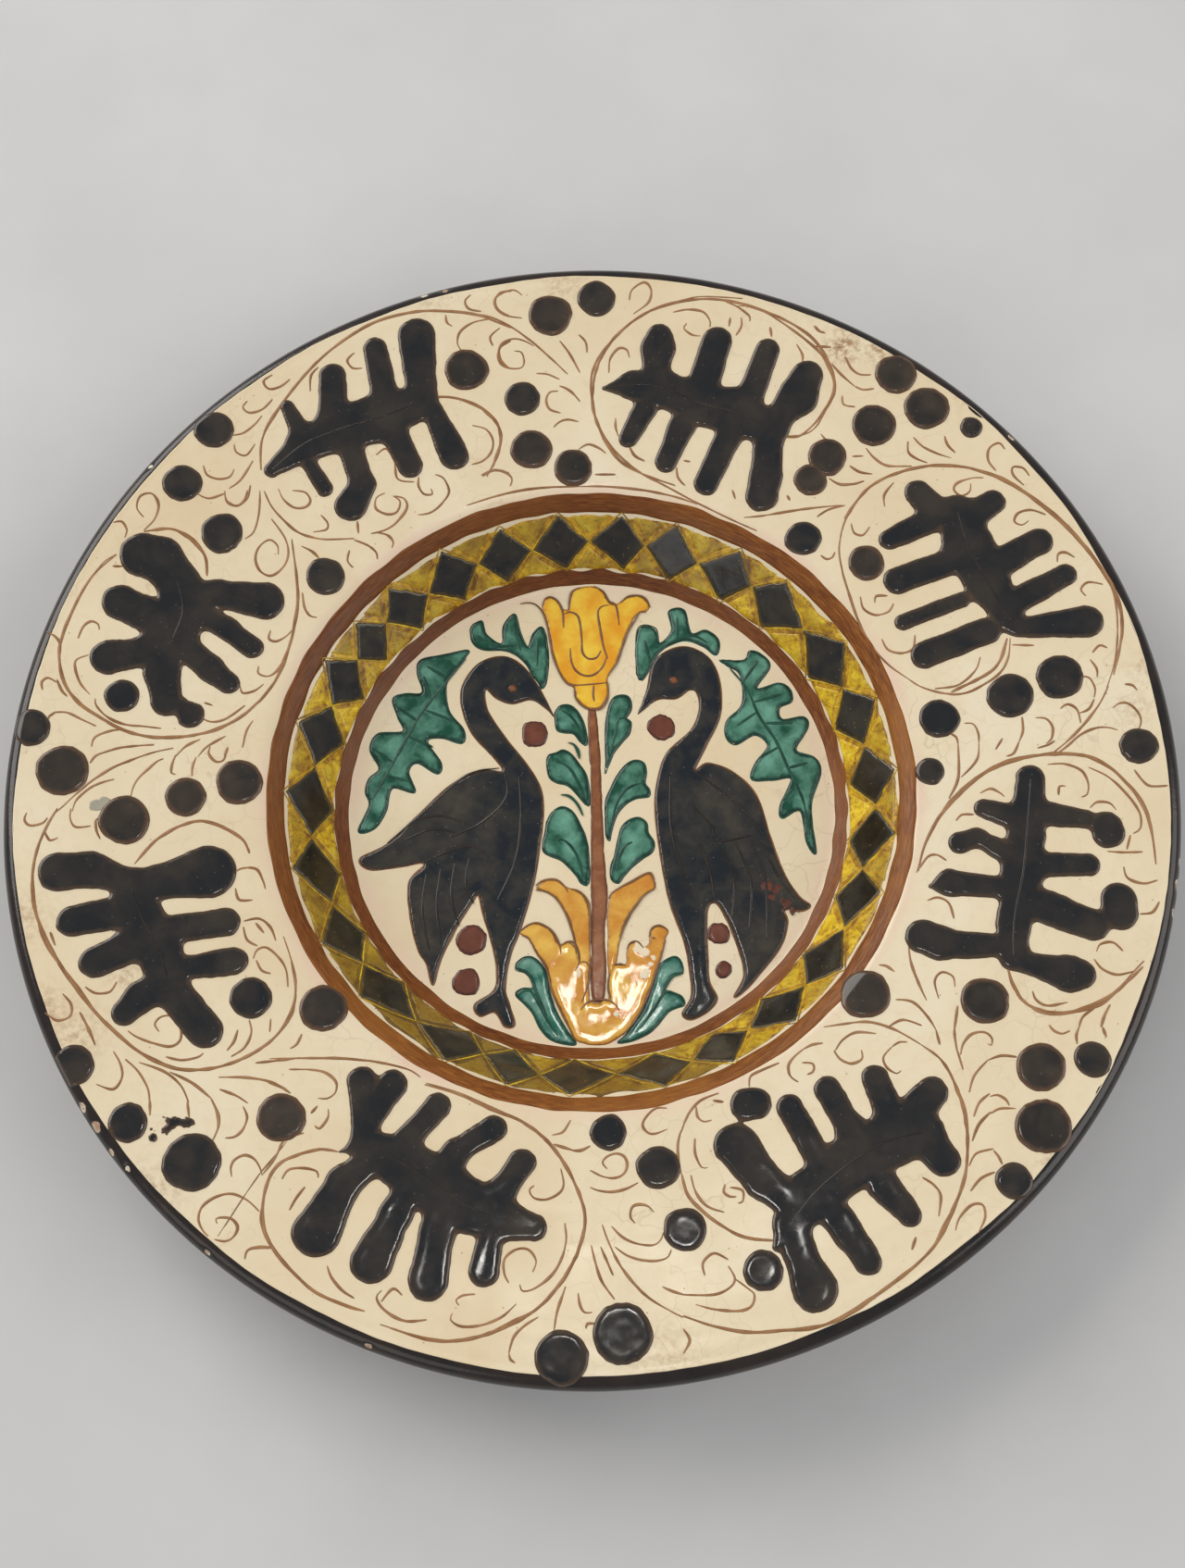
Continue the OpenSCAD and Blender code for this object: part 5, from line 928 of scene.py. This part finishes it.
CREAM, DARK, CLAY = cream_glaze(), dark_glaze(), bare_clay()
MUSTARD = mustard("mustard_glaze", [(0.16, 0.068, 0.008), (0.42, 0.205, 0.012), (0.62, 0.345, 0.014),
                                    (0.82, 0.52, 0.025)], (0.1, 0.058, 0.017))
TRIANGLE = mustard("yellow_triangle_enamel", [(0.42, 0.21, 0.01), (0.7, 0.42, 0.012), (0.86, 0.58, 0.018),
                                              (0.93, 0.69, 0.05)], (0.2, 0.105, 0.018))
OUTER = band_paint("outer_band_paint", (0.1, 0.027, 0.006), (0.21, 0.064, 0.011), (0.38, 0.145, 0.026))
INNER = band_paint("inner_band_paint", (0.08, 0.022, 0.006), (0.17, 0.05, 0.01), (0.31, 0.105, 0.02))
# Enamels: deep, pale and fringe colours, the fringe's width in mm, roughness from and to, the
# scale of the clouds, then the strength and colour of pale specks, pinholes with painted glints.
BLACK = enamel("black_enamel", (0.0095, 0.0105, 0.0115), (0.045, 0.034, 0.023), (0.075, 0.045, 0.024),
               1.3, (0.04, 0.11), 70.0, 0.35, (0.16, 0.15, 0.13), bump=0.012)
BROWN_DOT = enamel("brown_black_enamel", (0.02, 0.0165, 0.012), (0.058, 0.041, 0.027), (0.12, 0.062, 0.03),
                   1.6, (0.06, 0.2), 80.0, 0.4, (0.2, 0.16, 0.12), bump=0.015)
BIRD = enamel("bird_enamel", (0.007, 0.0105, 0.014), (0.06, 0.05, 0.034), (0.06, 0.036, 0.02),
              0.9, (0.04, 0.12), 120.0, 0.4, (0.2, 0.18, 0.15))
DIAMOND = enamel("diamond_enamel", (0.008, 0.0085, 0.009), (0.05, 0.04, 0.022), (0.09, 0.062, 0.02),
                 0.8, (0.05, 0.16), 110.0, 0.5, (0.3, 0.2, 0.05))
GREEN = enamel("green_enamel", (0.004, 0.068, 0.034), (0.15, 0.37, 0.26), (0.004, 0.034, 0.02),
               1.35, (0.04, 0.12), 170.0)
PALE_GREEN = enamel("pale_green_enamel", (0.012, 0.13, 0.085), (0.26, 0.46, 0.36), (0.006, 0.05, 0.034),
                    1.2, (0.03, 0.1), 150.0)
YELLOW = enamel("tulip_enamel", (0.8, 0.34, 0.012), (0.92, 0.65, 0.06), (0.42, 0.17, 0.012),
                0.8, (0.06, 0.18), 130.0)
ORANGE = enamel("orange_enamel", (0.6, 0.225, 0.025), (0.86, 0.55, 0.1), (0.34, 0.14, 0.02),
                0.7, (0.02, 0.06), 120.0, bump=0.02)
RED = enamel("red_dot_enamel", (0.12, 0.033, 0.016), (0.2, 0.062, 0.03), (0.085, 0.026, 0.015),
             1.0, (0.08, 0.25), 200.0)
STEM_PAINT = enamel("stem_paint", (0.22, 0.07, 0.022), (0.4, 0.17, 0.06), (0.13, 0.042, 0.014),
                    0.8, (0.12, 0.3), 200.0)
OCHRE = enamel("ochre_line", (0.25, 0.11, 0.036), (0.4, 0.21, 0.09), (0.3, 0.14, 0.05),
               0.05, (0.2, 0.4), 160.0)
SEPIA = enamel("sepia_line", (0.16, 0.07, 0.028), (0.27, 0.13, 0.055), (0.16, 0.07, 0.028),
               0.05, (0.15, 0.35), 200.0)
PINE = enamel("dark_green_line", (0.006, 0.04, 0.024), (0.02, 0.1, 0.06), (0.006, 0.04, 0.024),
              0.05, (0.1, 0.25), 200.0)
SMOKE = enamel("faded_grey", (0.36, 0.33, 0.25), (0.52, 0.47, 0.36), (0.4, 0.36, 0.27),
               0.6, (0.15, 0.35), 150.0)
INK = enamel("black_line", (0.012, 0.011, 0.01), (0.04, 0.028, 0.018), (0.012, 0.011, 0.01),
             0.05, (0.06, 0.18), 200.0)


# ---------------------------------------------------------------- the turned body
def flow(v):
    """Coordinates that streak a paint along its circle."""
    a, r = np.arctan2(v[:, 1], v[:, 0]), np.hypot(v[:, 0], v[:, 1])
    return np.stack([60 * np.cos(a), 60 * np.sin(a), 6 * r + 3 * v[:, 2]], 1)


def body_piece(name, profile, material, slot, closed, n=384, shift=None, **given):
    """A turned piece in place of the CAD node of its name."""
    mesh = Mesh()
    v = turned(mesh, profile, n, shift, closed)
    mesh.values = {"flow": [flow(v)]}
    for key, rule in given.items():
        mesh.values[key] = [rule(*v.T)]
    mesh.piece(name, material, slot, [name])


def under_slip(rs):
    return [(r, face_z(r) - COAT, 0) for r in rs]


def turn_marks(r):
    return 0.12 * np.sin(r * 1.9) + 0.06 * np.sin(r * 3.7 + 1)


FLOOR_TOP, BASE_Z = 14.4, 6
body_piece("foot_ring", [(70.5, 6.4, 0), (83, 6.4, 0), (81.4, 3, 0), (80.2, 0.7, 0), (79.2, 0.05, 0),
                         (78, 0, 0), (74, 0, 0), (72.8, 0.1, 0), (72, 0.8, 0), (70.8, 3.4, 0)],
           CLAY, "red_clay", True, wash=lambda x, y, z: np.clip(1 - z / 1.5, 0, 1) * 0.7)
top = under_slip(np.concatenate([np.arange(6, 84, 6), np.arange(84, 118, 1), [118]]))
low = [(r, back_z(r) + (turn_marks(r) if r < 70 else 0), 0)
       for r in np.concatenate([[118], np.arange(117, 84, -1.5), np.arange(84, 1, -0.75)])]
body_piece("clay_well", [(0, FLOOR_TOP, 0)] + top + low + [(0, BASE_Z, 0)], CLAY, "red_clay", False, n=320,
           wash=lambda x, y, z: np.clip(0.4 + 0.5 * ripple(x, y, 60, 4), 0, 1) * (z < 10))
top = under_slip(np.arange(118, 194, 4))
low = [(r, back_z(r), 0) for r in list(np.arange(190, 119, -5)) + [118]]
body_piece("clay_rim", top + lip_arc(3.9, np.arange(90, -91, -12)) + low, CLAY, "red_clay", True,
           wash=lambda x, y, z: 0 * x)


def edge_share(r):
    """How much of the slip edge's wander a circle takes."""
    return float(np.clip((r - 188) / 7.5, 0, 1))


def brush_marks(r):
    return (0.05 * math.sin(r * 0.9) + 0.03 * math.sin(r * 2.1)) * (r < 84 or r > 118)


def blush(x, y, z):
    """Pinker slip at the shoulder and at the foot of the well."""
    r = np.hypot(x, y)
    rings = np.maximum(np.exp(-((r - 113) / 2.2) ** 2), 0.9 * np.exp(-((r - 84.5) / 1.6) ** 2))
    return rings * (0.6 + 0.4 * ripple(x, y, 40, 9))


radii = np.concatenate([np.arange(4, 84, 4), np.arange(84, 120, 0.8), np.arange(120, 193, 2.6),
                        [193.6, 194.6, 195.2, 195.5]])
body_piece("cream_slip", [(0, 15, 0)] + [(r, face_z(r) + brush_marks(r), edge_share(r)) for r in radii]
           + [(195.6, face_z(195.5) - 0.35, 1), (194, face_z(194) - 0.65, 1)]
           + under_slip(np.concatenate([[186, 150], np.arange(120, 84, -1.6), [40]])) + [(0, FLOOR_TOP, 0)],
           CREAM, "cream_slip", False, n=720,
           shift=lambda a: 0.4 * wave(a, 3, 3, 30) + 0.06 * wave(a, 4, 60, 160, 14), blush=blush,
           stain=lambda x, y, z: np.max([s * np.exp(-((x - a) ** 2 + (y - b) ** 2) / (0.5 * w * w))
                                         for a, b, w, s in STAINS], axis=0))


def drip_share(r):
    """How much of the glaze's lower edge's wander a circle takes."""
    return float(np.clip((92 - r) / 8, 0, 1))


under = np.concatenate([np.arange(190, 124, -3), np.arange(124, 84, -1.5)])
outer = [(r, face_z(r) - d, 0) for r, d in ((193.2, 0.35), (194.4, 0.12))]
outer += lip_arc(LIP_R, np.arange(88, -91, -8))
outer += [(r, back_z(r) - COAT - 0.1 * math.sin(r), drip_share(r)) for r in under]
inner = [(r, back_z(r) + 0.15, drip_share(r)) for r in under[::-1]]
inner += lip_arc(3.7, np.arange(-90, 91, 12))
glaze = Mesh()
gv = turned(glaze, outer + inner, 900, lambda a: 2.2 * wave(a, 8, 3, 30) + 0.6 * wave(a, 9, 30, 90))
gx, gy, gz = gv.T
gr = np.hypot(gx, gy)
chip = np.zeros(len(gv))
for a, size, tilt in CHIPS:
    (r, z, _), = lip_arc(LIP_R, [tilt])
    c = np.array([r * math.cos(a), r * math.sin(a), z])
    chip = np.maximum(chip, np.clip(1.35 * (1 - np.linalg.norm(gv - c, axis=1) / size), 0, 1))
lip = np.stack([SLIP_R * gx / gr, SLIP_R * gy / gr, np.full(len(gv), LIP_Z)], 1)
gv += (lip - gv) * (0.17 * chip * (0.6 + 0.4 * ripple(gx, gy, 2.5, 12)))[:, None]
glaze.v = [gv]
glaze.values = {"chip": [chip], "wash": [np.clip((200 - np.hypot(gx, gy)) / 14, 0, 1) * (gz < 43)]}
glaze.piece("lip_and_back_glaze", DARK, "dark_glaze", ["back_glaze"])


def band(name, r0, r1, height, material, slot, nodes, seed, wash):
    """A painted ring between two circles that wander a little."""
    mesh = Mesh()
    n, t = 900, np.linspace(0, 1, 9)
    rise = height * np.sqrt(np.clip(1 - np.abs(2 * t - 1) ** 4, 0, 1)) - 0.06
    a = np.linspace(0, TAU, n, endpoint=False)
    in_r, out_r = r0 + 0.25 * wave(a, seed, 3, 45), r1 + 0.35 * wave(a, seed + 1, 3, 45)
    r = in_r[:, None] + (out_r - in_r)[:, None] * t
    x, y = r * np.cos(a)[:, None], r * np.sin(a)[:, None]
    top_z = face_z(r) + rise + 0.05 * ripple(x, y, 12, seed)
    ends = [-1, 0]
    v = np.concatenate([np.stack([x, y, top_z], -1),
                        np.stack([x[:, ends], y[:, ends], face_z(r[:, ends]) - 0.35], -1)], 1)
    m = v.shape[1]
    v = v.reshape(-1, 3)
    mesh.add(v, [lofted(*grid(n, m), n, m)])
    mesh.values = {"flow": [flow(v)], "wash": [wash(v[:, 0], v[:, 1])]}
    mesh.piece(name, material, slot, nodes)


def shade_and_sheen(x, y):
    """Painted shade and sheen towards the bottom and the lower left: the mustard darker there, the black
    diamonds paler.
    """
    low = 0.9 * np.exp(-((x + 12) ** 2 + (y + 99) ** 2) / 3200)
    left = 0.8 * np.exp(-((x + 72) ** 2 + (y + 66) ** 2) / 2400)
    return np.clip(low + left + 0.25 * ripple(x, y, 30, 21), 0, 1)


# Painted shade: the red-brown bands darker towards the upper left.
def shade_upper_left(x, y):
    return np.clip(-(x - y) / 260 + 0.1, 0, 0.6)


band("outer_band", 106, 112, 0.32, OUTER, "red_brown", ["outer_ring"], 31, shade_upper_left)
band("inner_band", 86, 90.8, 0.3, INNER, "red_brown", ["inner_ring"], 33, shade_upper_left)
# The checker ground takes painted shade towards the bottom and the lower left.
band("checker_ground", 90.4, 106.3, 0.2, MUSTARD, "mustard", ["checker_ground"], 35, shade_and_sheen)

# ---------------------------------------------------------------- the checker band
rng = np.random.default_rng(7)
COUNT = len(DIAMOND_ANGLES)
R_IN, R_MID, R_OUT = 91.2, 98.3, 105.7
corners = []        # angle, inner and outer radius, inner and outer angle
for a in np.radians(DIAMOND_ANGLES).tolist():
    corners.append((a, R_IN + rng.normal(0, 0.3), R_OUT + rng.normal(0, 0.3),
                    a + rng.normal(0, 0.012), a + rng.normal(0, 0.012)))
joints = [((a[0] + b[0] + (TAU if b is corners[0] else 0)) / 2, R_MID + rng.normal(0, 0.7))
          for a, b in zip(corners, corners[1:] + corners[:1])]


def polar(a, r):
    return r * math.cos(a), r * math.sin(a)


def facet(mesh, shape, seed, height, lift, wash, grow):
    """A straight-sided patch of the checker."""
    p = np.array(shape)
    area = np.sum(p[:, 0] * np.roll(p[:, 1], -1) - np.roll(p[:, 0], -1) * p[:, 1])
    p = p if area > 0 else p[::-1]
    q = np.roll(p, -1, 0)
    n = np.stack([-(q - p)[:, 1], (q - p)[:, 0]], 1)
    n /= np.hypot(*n.T)[:, None]

    def field(x, y):
        return np.min([(x - a) * u + (y - b) * w for (a, b), (u, w) in zip(p, n)], axis=0) + grow
    box = (*(p.min(0) - 1), *(p.max(0) + 1))
    relief(mesh, box, shaky(field, seed, 0.22, 6), height, 0.7, 0.6, lift, 0.3, 0.03, seed, wash)


diamonds, triangles, lattice = Mesh(), Mesh(), Mesh()
for i, (a, r_in, r_out, a_in, a_out) in enumerate(corners):
    left, right = joints[i], joints[i - 1]
    if i == 0:
        right = (right[0] - TAU, right[1])
    tone = 0.15 + 0.35 * rng.random()
    # Each diamond's random tone, with painted sheen towards the bottom and the lower left.
    facet(diamonds, [polar(a_in, r_in), polar(*right), polar(a_out, r_out), polar(*left)], 100 + i,
          0.3, 0.15, lambda x, y: tone + shade_and_sheen(x, y), -0.15)
    after = corners[(i + 1) % COUNT]
    turn = TAU if i == COUNT - 1 else 0
    for k, r_edge, inset, near, far in ((1, R_IN, -1.1, a_in, after[3]), (2, 105.6, 1.1, a_out, after[4])):
        dull = rng.uniform(-0.1, 0.25) + (0.35 if 50 < DIAMOND_ANGLES[i] < 150 else 0) + (0.2 if k == 2 else 0)
        tri = [polar(left[0], left[1] + inset), polar(near + 0.03, r_edge), polar(far + turn - 0.03, r_edge)]
        # The triangles' tone, with painted shade towards the bottom and the lower left.
        facet(triangles, tri, 200 + 3 * i + k, 0.12, 0.12,
              lambda x, y: dull + shade_and_sheen(x, y) + 0.2 * ripple(x, y, 10, 40), -0.3)
    for s, e in enumerate((right, left)):
        for c in ((a_in, r_in - 0.6), (a_out, r_out + 0.6)):
            middle = polar((c[0] + e[0]) / 2, (c[1] + e[1]) / 2)
            ribbon(lattice, [polar(*c), middle, polar(*e)], 0.5, 0.1, 0.2, 0.2, 300 + 4 * i + s)
diamonds.piece("checker_diamonds", DIAMOND, "black_enamel", ["checker_diamonds"])
triangles.piece("checker_triangles", TRIANGLE, "mustard")
lattice.piece("checker_lattice_lines", TRIANGLE, "mustard")


# ---------------------------------------------------------------- the medallion
def motif(name, box, field, height, material, slot, seed, wash=None, added=False, **shape):
    """A raised motif in place of the CAD node of its name, or added to them."""
    mesh = Mesh()
    relief(mesh, box, field, height, seed=seed, wash=wash, **shape)
    mesh.piece(name, material, slot, [] if added else [name])


left_f, right_f = shaky(inside(LEFT_BIRD), 50, 0.2), shaky(inside(RIGHT_BIRD), 52, 0.2)
motif("left_bird", (-84, -81, -11, 60), left_f, 0.5, BIRD, "black_enamel", 50,
      thinned(0, 0.2, 12, 5, [-52,0,17,0.8, -58,-42,17,0.75, -44,-25,10,0.5, -70,-15,12,0.7, -36,-70,8,0.4]))
motif("right_bird", (14, -78, 79, 64), right_f, 0.5, BIRD, "black_enamel", 52,
      thinned(0, 0.2, 12, 6, [50,0,15,0.8, 56,-48,15,0.75, 70,-30,10,0.8, 38,-72,8,0.4, 24,44,6,0.4]))
stem, petals = inside(STEM), any_of(BASE_PETALS)
motif("flower_stem", (-3, -71, 8, 40), shaky(stem, 60, 0.15), 0.22, STEM_PAINT, "red_brown", 60, round_w=0.7)
tulip = shaky(inside(TULIP), 62, 0.2)
motif("tulip_cup", (-21, 37, 21, 86), tulip, 0.42, YELLOW, "yellow_enamel", 62,
      thinned(0.12, 0.3, 10, 63, [-4,72,5,0.9, -1,60,6,0.9, -2,43,4,0.8, -14,76,3,0.7, 14,79,4,0.7,
                                  -5,80,4,0.8, 0,66,3,0.6]))
motif("stem_leaves", (-19, -30, 24, 45), shaky(any_of(STEM_LEAVES), 64, 0.2), 0.4, GREEN, "green_enamel", 64,
      lambda x, y: 0.25 + 0.5 * ripple(x, y, 9, 65) + 0.25 * (y < 0))
motif("base_petals", (-25, -86, 29, -23), shaky(clear(petals, stem, 0.1), 66, 0.2), 0.4,
      ORANGE, "orange_enamel", 66,
      thinned(0.2, 0.4, 11, 67, [-15,-47,6,0.9, -7,-53,4,0.9, -5,-32,3,0.8, 2.5,-72,5,0.7, 8,-64,4,0.8,
                                 3,-60,3,0.6, 10,-50,5,0.4]))
motif("base_leaves", (-28, -85, 34, -51), shaky(clear(any_of(BASE_LEAVES), petals, 0.2), 68, 0.2), 0.38,
      PALE_GREEN, "green_enamel", 68, thinned(0.3, 0.5, 8, 69))
left_spray = clear(any_of(LEFT_SPRAY), both(left_f, tulip), 0.2)
right_spray = clear(any_of(RIGHT_SPRAY), both(right_f, tulip), 0.2)
motif("left_spray", (-85, -12, -13, 77), shaky(left_spray, 70, 0.25), 0.4, GREEN, "green_enamel", 70,
      thinned(0.15, 0.45, 10, 71, [-80,0,12,0.6, -24,58,8,0.4, -36,62,6,0.4, -72,20,8,0.3]))
motif("right_spray", (14, -19, 84, 79), shaky(right_spray, 72, 0.25), 0.4, GREEN, "green_enamel", 72,
      thinned(0.3, 0.5, 10, 73, [62,25,14,0.5, 40,64,9,0.4, 58,52,8,0.4]))
motif("red_dots", (-50, -70, 52, 37), shaky(round_spots(RED_DOTS), 74, 0.35, 7), 0.4, RED, "red_brown", 74,
      thinned(0.3, 0.4, 6, 75))


def lines(name, material, slot, width, height, lift, runs, seed, taper=0.35):
    mesh = Mesh()
    for i, run in enumerate(runs):
        ribbon(mesh, run, width, height, lift, taper, seed + i)
    mesh.piece(name, material, slot)


def rings(outlines):
    return [p + p[:1] for p in outlines]


green_shapes = STEM_LEAVES + BASE_LEAVES + LEFT_SPRAY + RIGHT_SPRAY
lines("tulip_lines", SEPIA, "ochre_line", 0.9, 0.14, 0.45, TULIP_LINES, 400)
lines("green_veins", PINE, "green_enamel", 1.1, 0.12, 0.42, GREEN_LINES, 430)
lines("petal_lines", SEPIA, "ochre_line", 0.8, 0.12, 0.42, PETAL_LINES, 460)
lines("bird_lines", INK, "black_enamel", 0.9, 0.16, 0.52, BIRD_LINES, 480)
lines("bird_outlines", SEPIA, "ochre_line", 0.7, 0.1, 0.05, rings([LEFT_BIRD, RIGHT_BIRD]), 500)
lines("green_outlines", PINE, "green_enamel", 0.75, 0.12, 0.04, rings(green_shapes), 530)
eyes = Mesh()
for ex, ey in EYES:
    relief(eyes, (ex - 3, ey - 3, ex + 3, ey + 3), round_spots([(ex, ey, 1.5)]), 0.3, 0.5, 0.25, 0.45, seed=510)
eyes.piece("bird_eyes", STEM_PAINT, "red_brown")
motif("bird_graze", (57, -41, 74, -24), shaky(round_spots(GRAZES), 512, 0.7, 3), 0.12, RED, "red_brown",
      512, added=True, round_w=0.4, cell=0.3, lift=0.42)
motif("petal_flakes", (-8, -78, 25, -46), shaky(round_spots(FLAKES), 514, 0.5, 3), 0.1, CREAM, "cream_slip",
      514, added=True, round_w=0.3, cell=0.3, lift=0.38)

# ---------------------------------------------------------------- the rim
for i, strokes in enumerate(LEAVES):
    pts = np.array([p for s in strokes for p in s])
    lo, hi = (pts[:, :2] - pts[:, 2:]).min(0) - 2, (pts[:, :2] + pts[:, 2:]).max(0) + 2
    seed = 520 + 5 * i
    motif("rim_leaf_%d" % (i + 1), (*lo, *hi), shaky(brushed(strokes), seed, 0.18, 9), 0.62,
          BLACK, "black_enamel", seed, thinned(0.25, 0.45, 24, 600 + i), round_w=1.5)
black_dots, brown_dots = Mesh(), Mesh()
for i, (x0, y0, r0) in enumerate(DOTS):
    spot = shaky(round_spots([(x0, y0, r0)]), 700 + i, 0.3, 12)
    relief(brown_dots if (x0, y0) in BROWN_AT else black_dots,
           (x0 - r0 - 2, y0 - r0 - 2, x0 + r0 + 2, y0 + r0 + 2),
           lambda x, y: np.minimum(spot(x, y), EDGE_R - np.hypot(x, y)), 0.55, 1.5, lumps=0.006,
           seed=700 + i, wash=thinned(0.35 + 0.35 * math.sin(i * 2.3), 0.4, 9, 750 + i))
black_dots.piece("rim_dots_black", BLACK, "black_enamel", ["rim_dots"])
brown_dots.piece("rim_dots_brown", BROWN_DOT, "black_enamel")
splash = both(inside(SPLASH), round_spots([(-140.5, -121.5, 1.2), (-141, -119, 0.8)]))
motif("glaze_splash", (-143, -124, -126, -113), shaky(splash, 780, 0.6, 4), 0.35, BLACK, "black_enamel",
      780, added=True, round_w=0.8, cell=0.35)
faded = round_spots([(-168.5, -8.5, 2.2), (-165.5, -8, 2.6)])
motif("faded_spot", (-173, -13, -161, -4), shaky(faded, 784, 0.3, 5), 0.1, SMOKE, "cream_slip",
      784, added=True, round_w=0.5, cell=0.4)
vines = Mesh()
for runs, width, height, taper, seed in ((VINES, 1.2, 0.16, 0.12, 800), (CURLS, 1.0, 0.15, 0.4, 850)):
    for i, run in enumerate(runs):
        ribbon(vines, run, width, height, 0.0, taper, seed + i)
vines.piece("scroll_vines", OCHRE, "ochre_line", ["scroll_vines"])
lines("rim_scratch", SEPIA, "ochre_line", 0.5, 0.1, 0.0, [SCRATCH], 986, 0.2)
midribs = [[(x, y) for x, y, _ in strokes[0]] for strokes in LEAVES]
lines("rim_leaf_midribs", INK, "black_enamel", 0.9, 0.12, 0.6, midribs, 990, 0.4)

# ---------------------------------------------------------------- studio, in metres
FLOOR_HALF, FLOOR_Z = 6, -0.0002
p = Paint("studio_floor")
plaster = p.ramp(p.noise(9.0), (0.3, (0.6, 0.59, 0.57)), (0.7, (0.66, 0.65, 0.63)))
p.finish(plaster, p.gloss(30.0, 4.0, (0.3, 0.75), (0.7, 0.9)), p.noise(400.0, 3.0), 0.05)
me = bpy.data.meshes.new("studio_floor")
me.from_pydata([(x * FLOOR_HALF, y * FLOOR_HALF, FLOOR_Z) for x, y in ((-1, -1), (1, -1), (1, 1), (-1, 1))],
               [], [(0, 1, 2, 3)])
me.materials.append(p.material)
ground = bpy.data.objects.new("studio_floor", me)
bpy.context.scene.collection.objects.link(ground)

WINDOW, MEDALLION, PLATE = ((0.028, 0.05), 0.1, (1, 0.96, 0.9)), (0, -0.06, 0.015), (0, 0, 0.03)
for name, at, (size, watts, colour), target in (
        ("ceiling_left", (-0.022, 0.25, 1.46), WINDOW, MEDALLION),
        ("ceiling_right", (0.022, 0.25, 1.46), WINDOW, MEDALLION),
        ("soft_key", (-2.1, 1.7, 1.9), ((2.6, 2.4), 72, (1, 0.97, 0.92)), PLATE),
        ("soft_fill", (2.2, -0.3, 1.7), ((2.2, 2.0), 27, (1, 0.98, 0.96)), PLATE),
        ("soft_front", (-1.5, -2.0, 1.6), ((2.0, 1.6), 9, (1, 0.98, 0.96)), PLATE)):
    data = bpy.data.lights.new(name, "AREA")
    data.shape, data.energy, data.color = "RECTANGLE", watts, colour
    data.size, data.size_y = size
    ob = bpy.data.objects.new(name, data)
    bpy.context.scene.collection.objects.link(ob)
    ob.location = at
    ob.rotation_euler = (Vector(target) - Vector(at)).to_track_quat("-Z", "Y").to_euler()

world = bpy.data.worlds.new("studio")
world.use_nodes = True
sky = world.node_tree.nodes["Background"]
sky.inputs["Color"].default_value = (0.9, 0.93, 1.0, 1)
sky.inputs["Strength"].default_value = 0.42
bpy.context.scene.world = world

# The camera, solved from the plate's own circles in the photograph.
view = bpy.data.cameras.new("camera")
view.lens, view.sensor_width, view.clip_start, view.clip_end = 47.82, 36, 0.01, 50
camera = bpy.data.objects.new("camera", view)
bpy.context.scene.collection.objects.link(camera)
camera.matrix_world = Matrix(((0.9999, 0.0, 0.0140, 0.0107), (0.0044, 0.9502, -0.3116, -0.2221),
                              (-0.0133, 0.3116, 0.9501, 0.7201), (0, 0, 0, 1)))
bpy.context.scene.camera = camera
bpy.context.scene.view_settings.view_transform = "Standard"
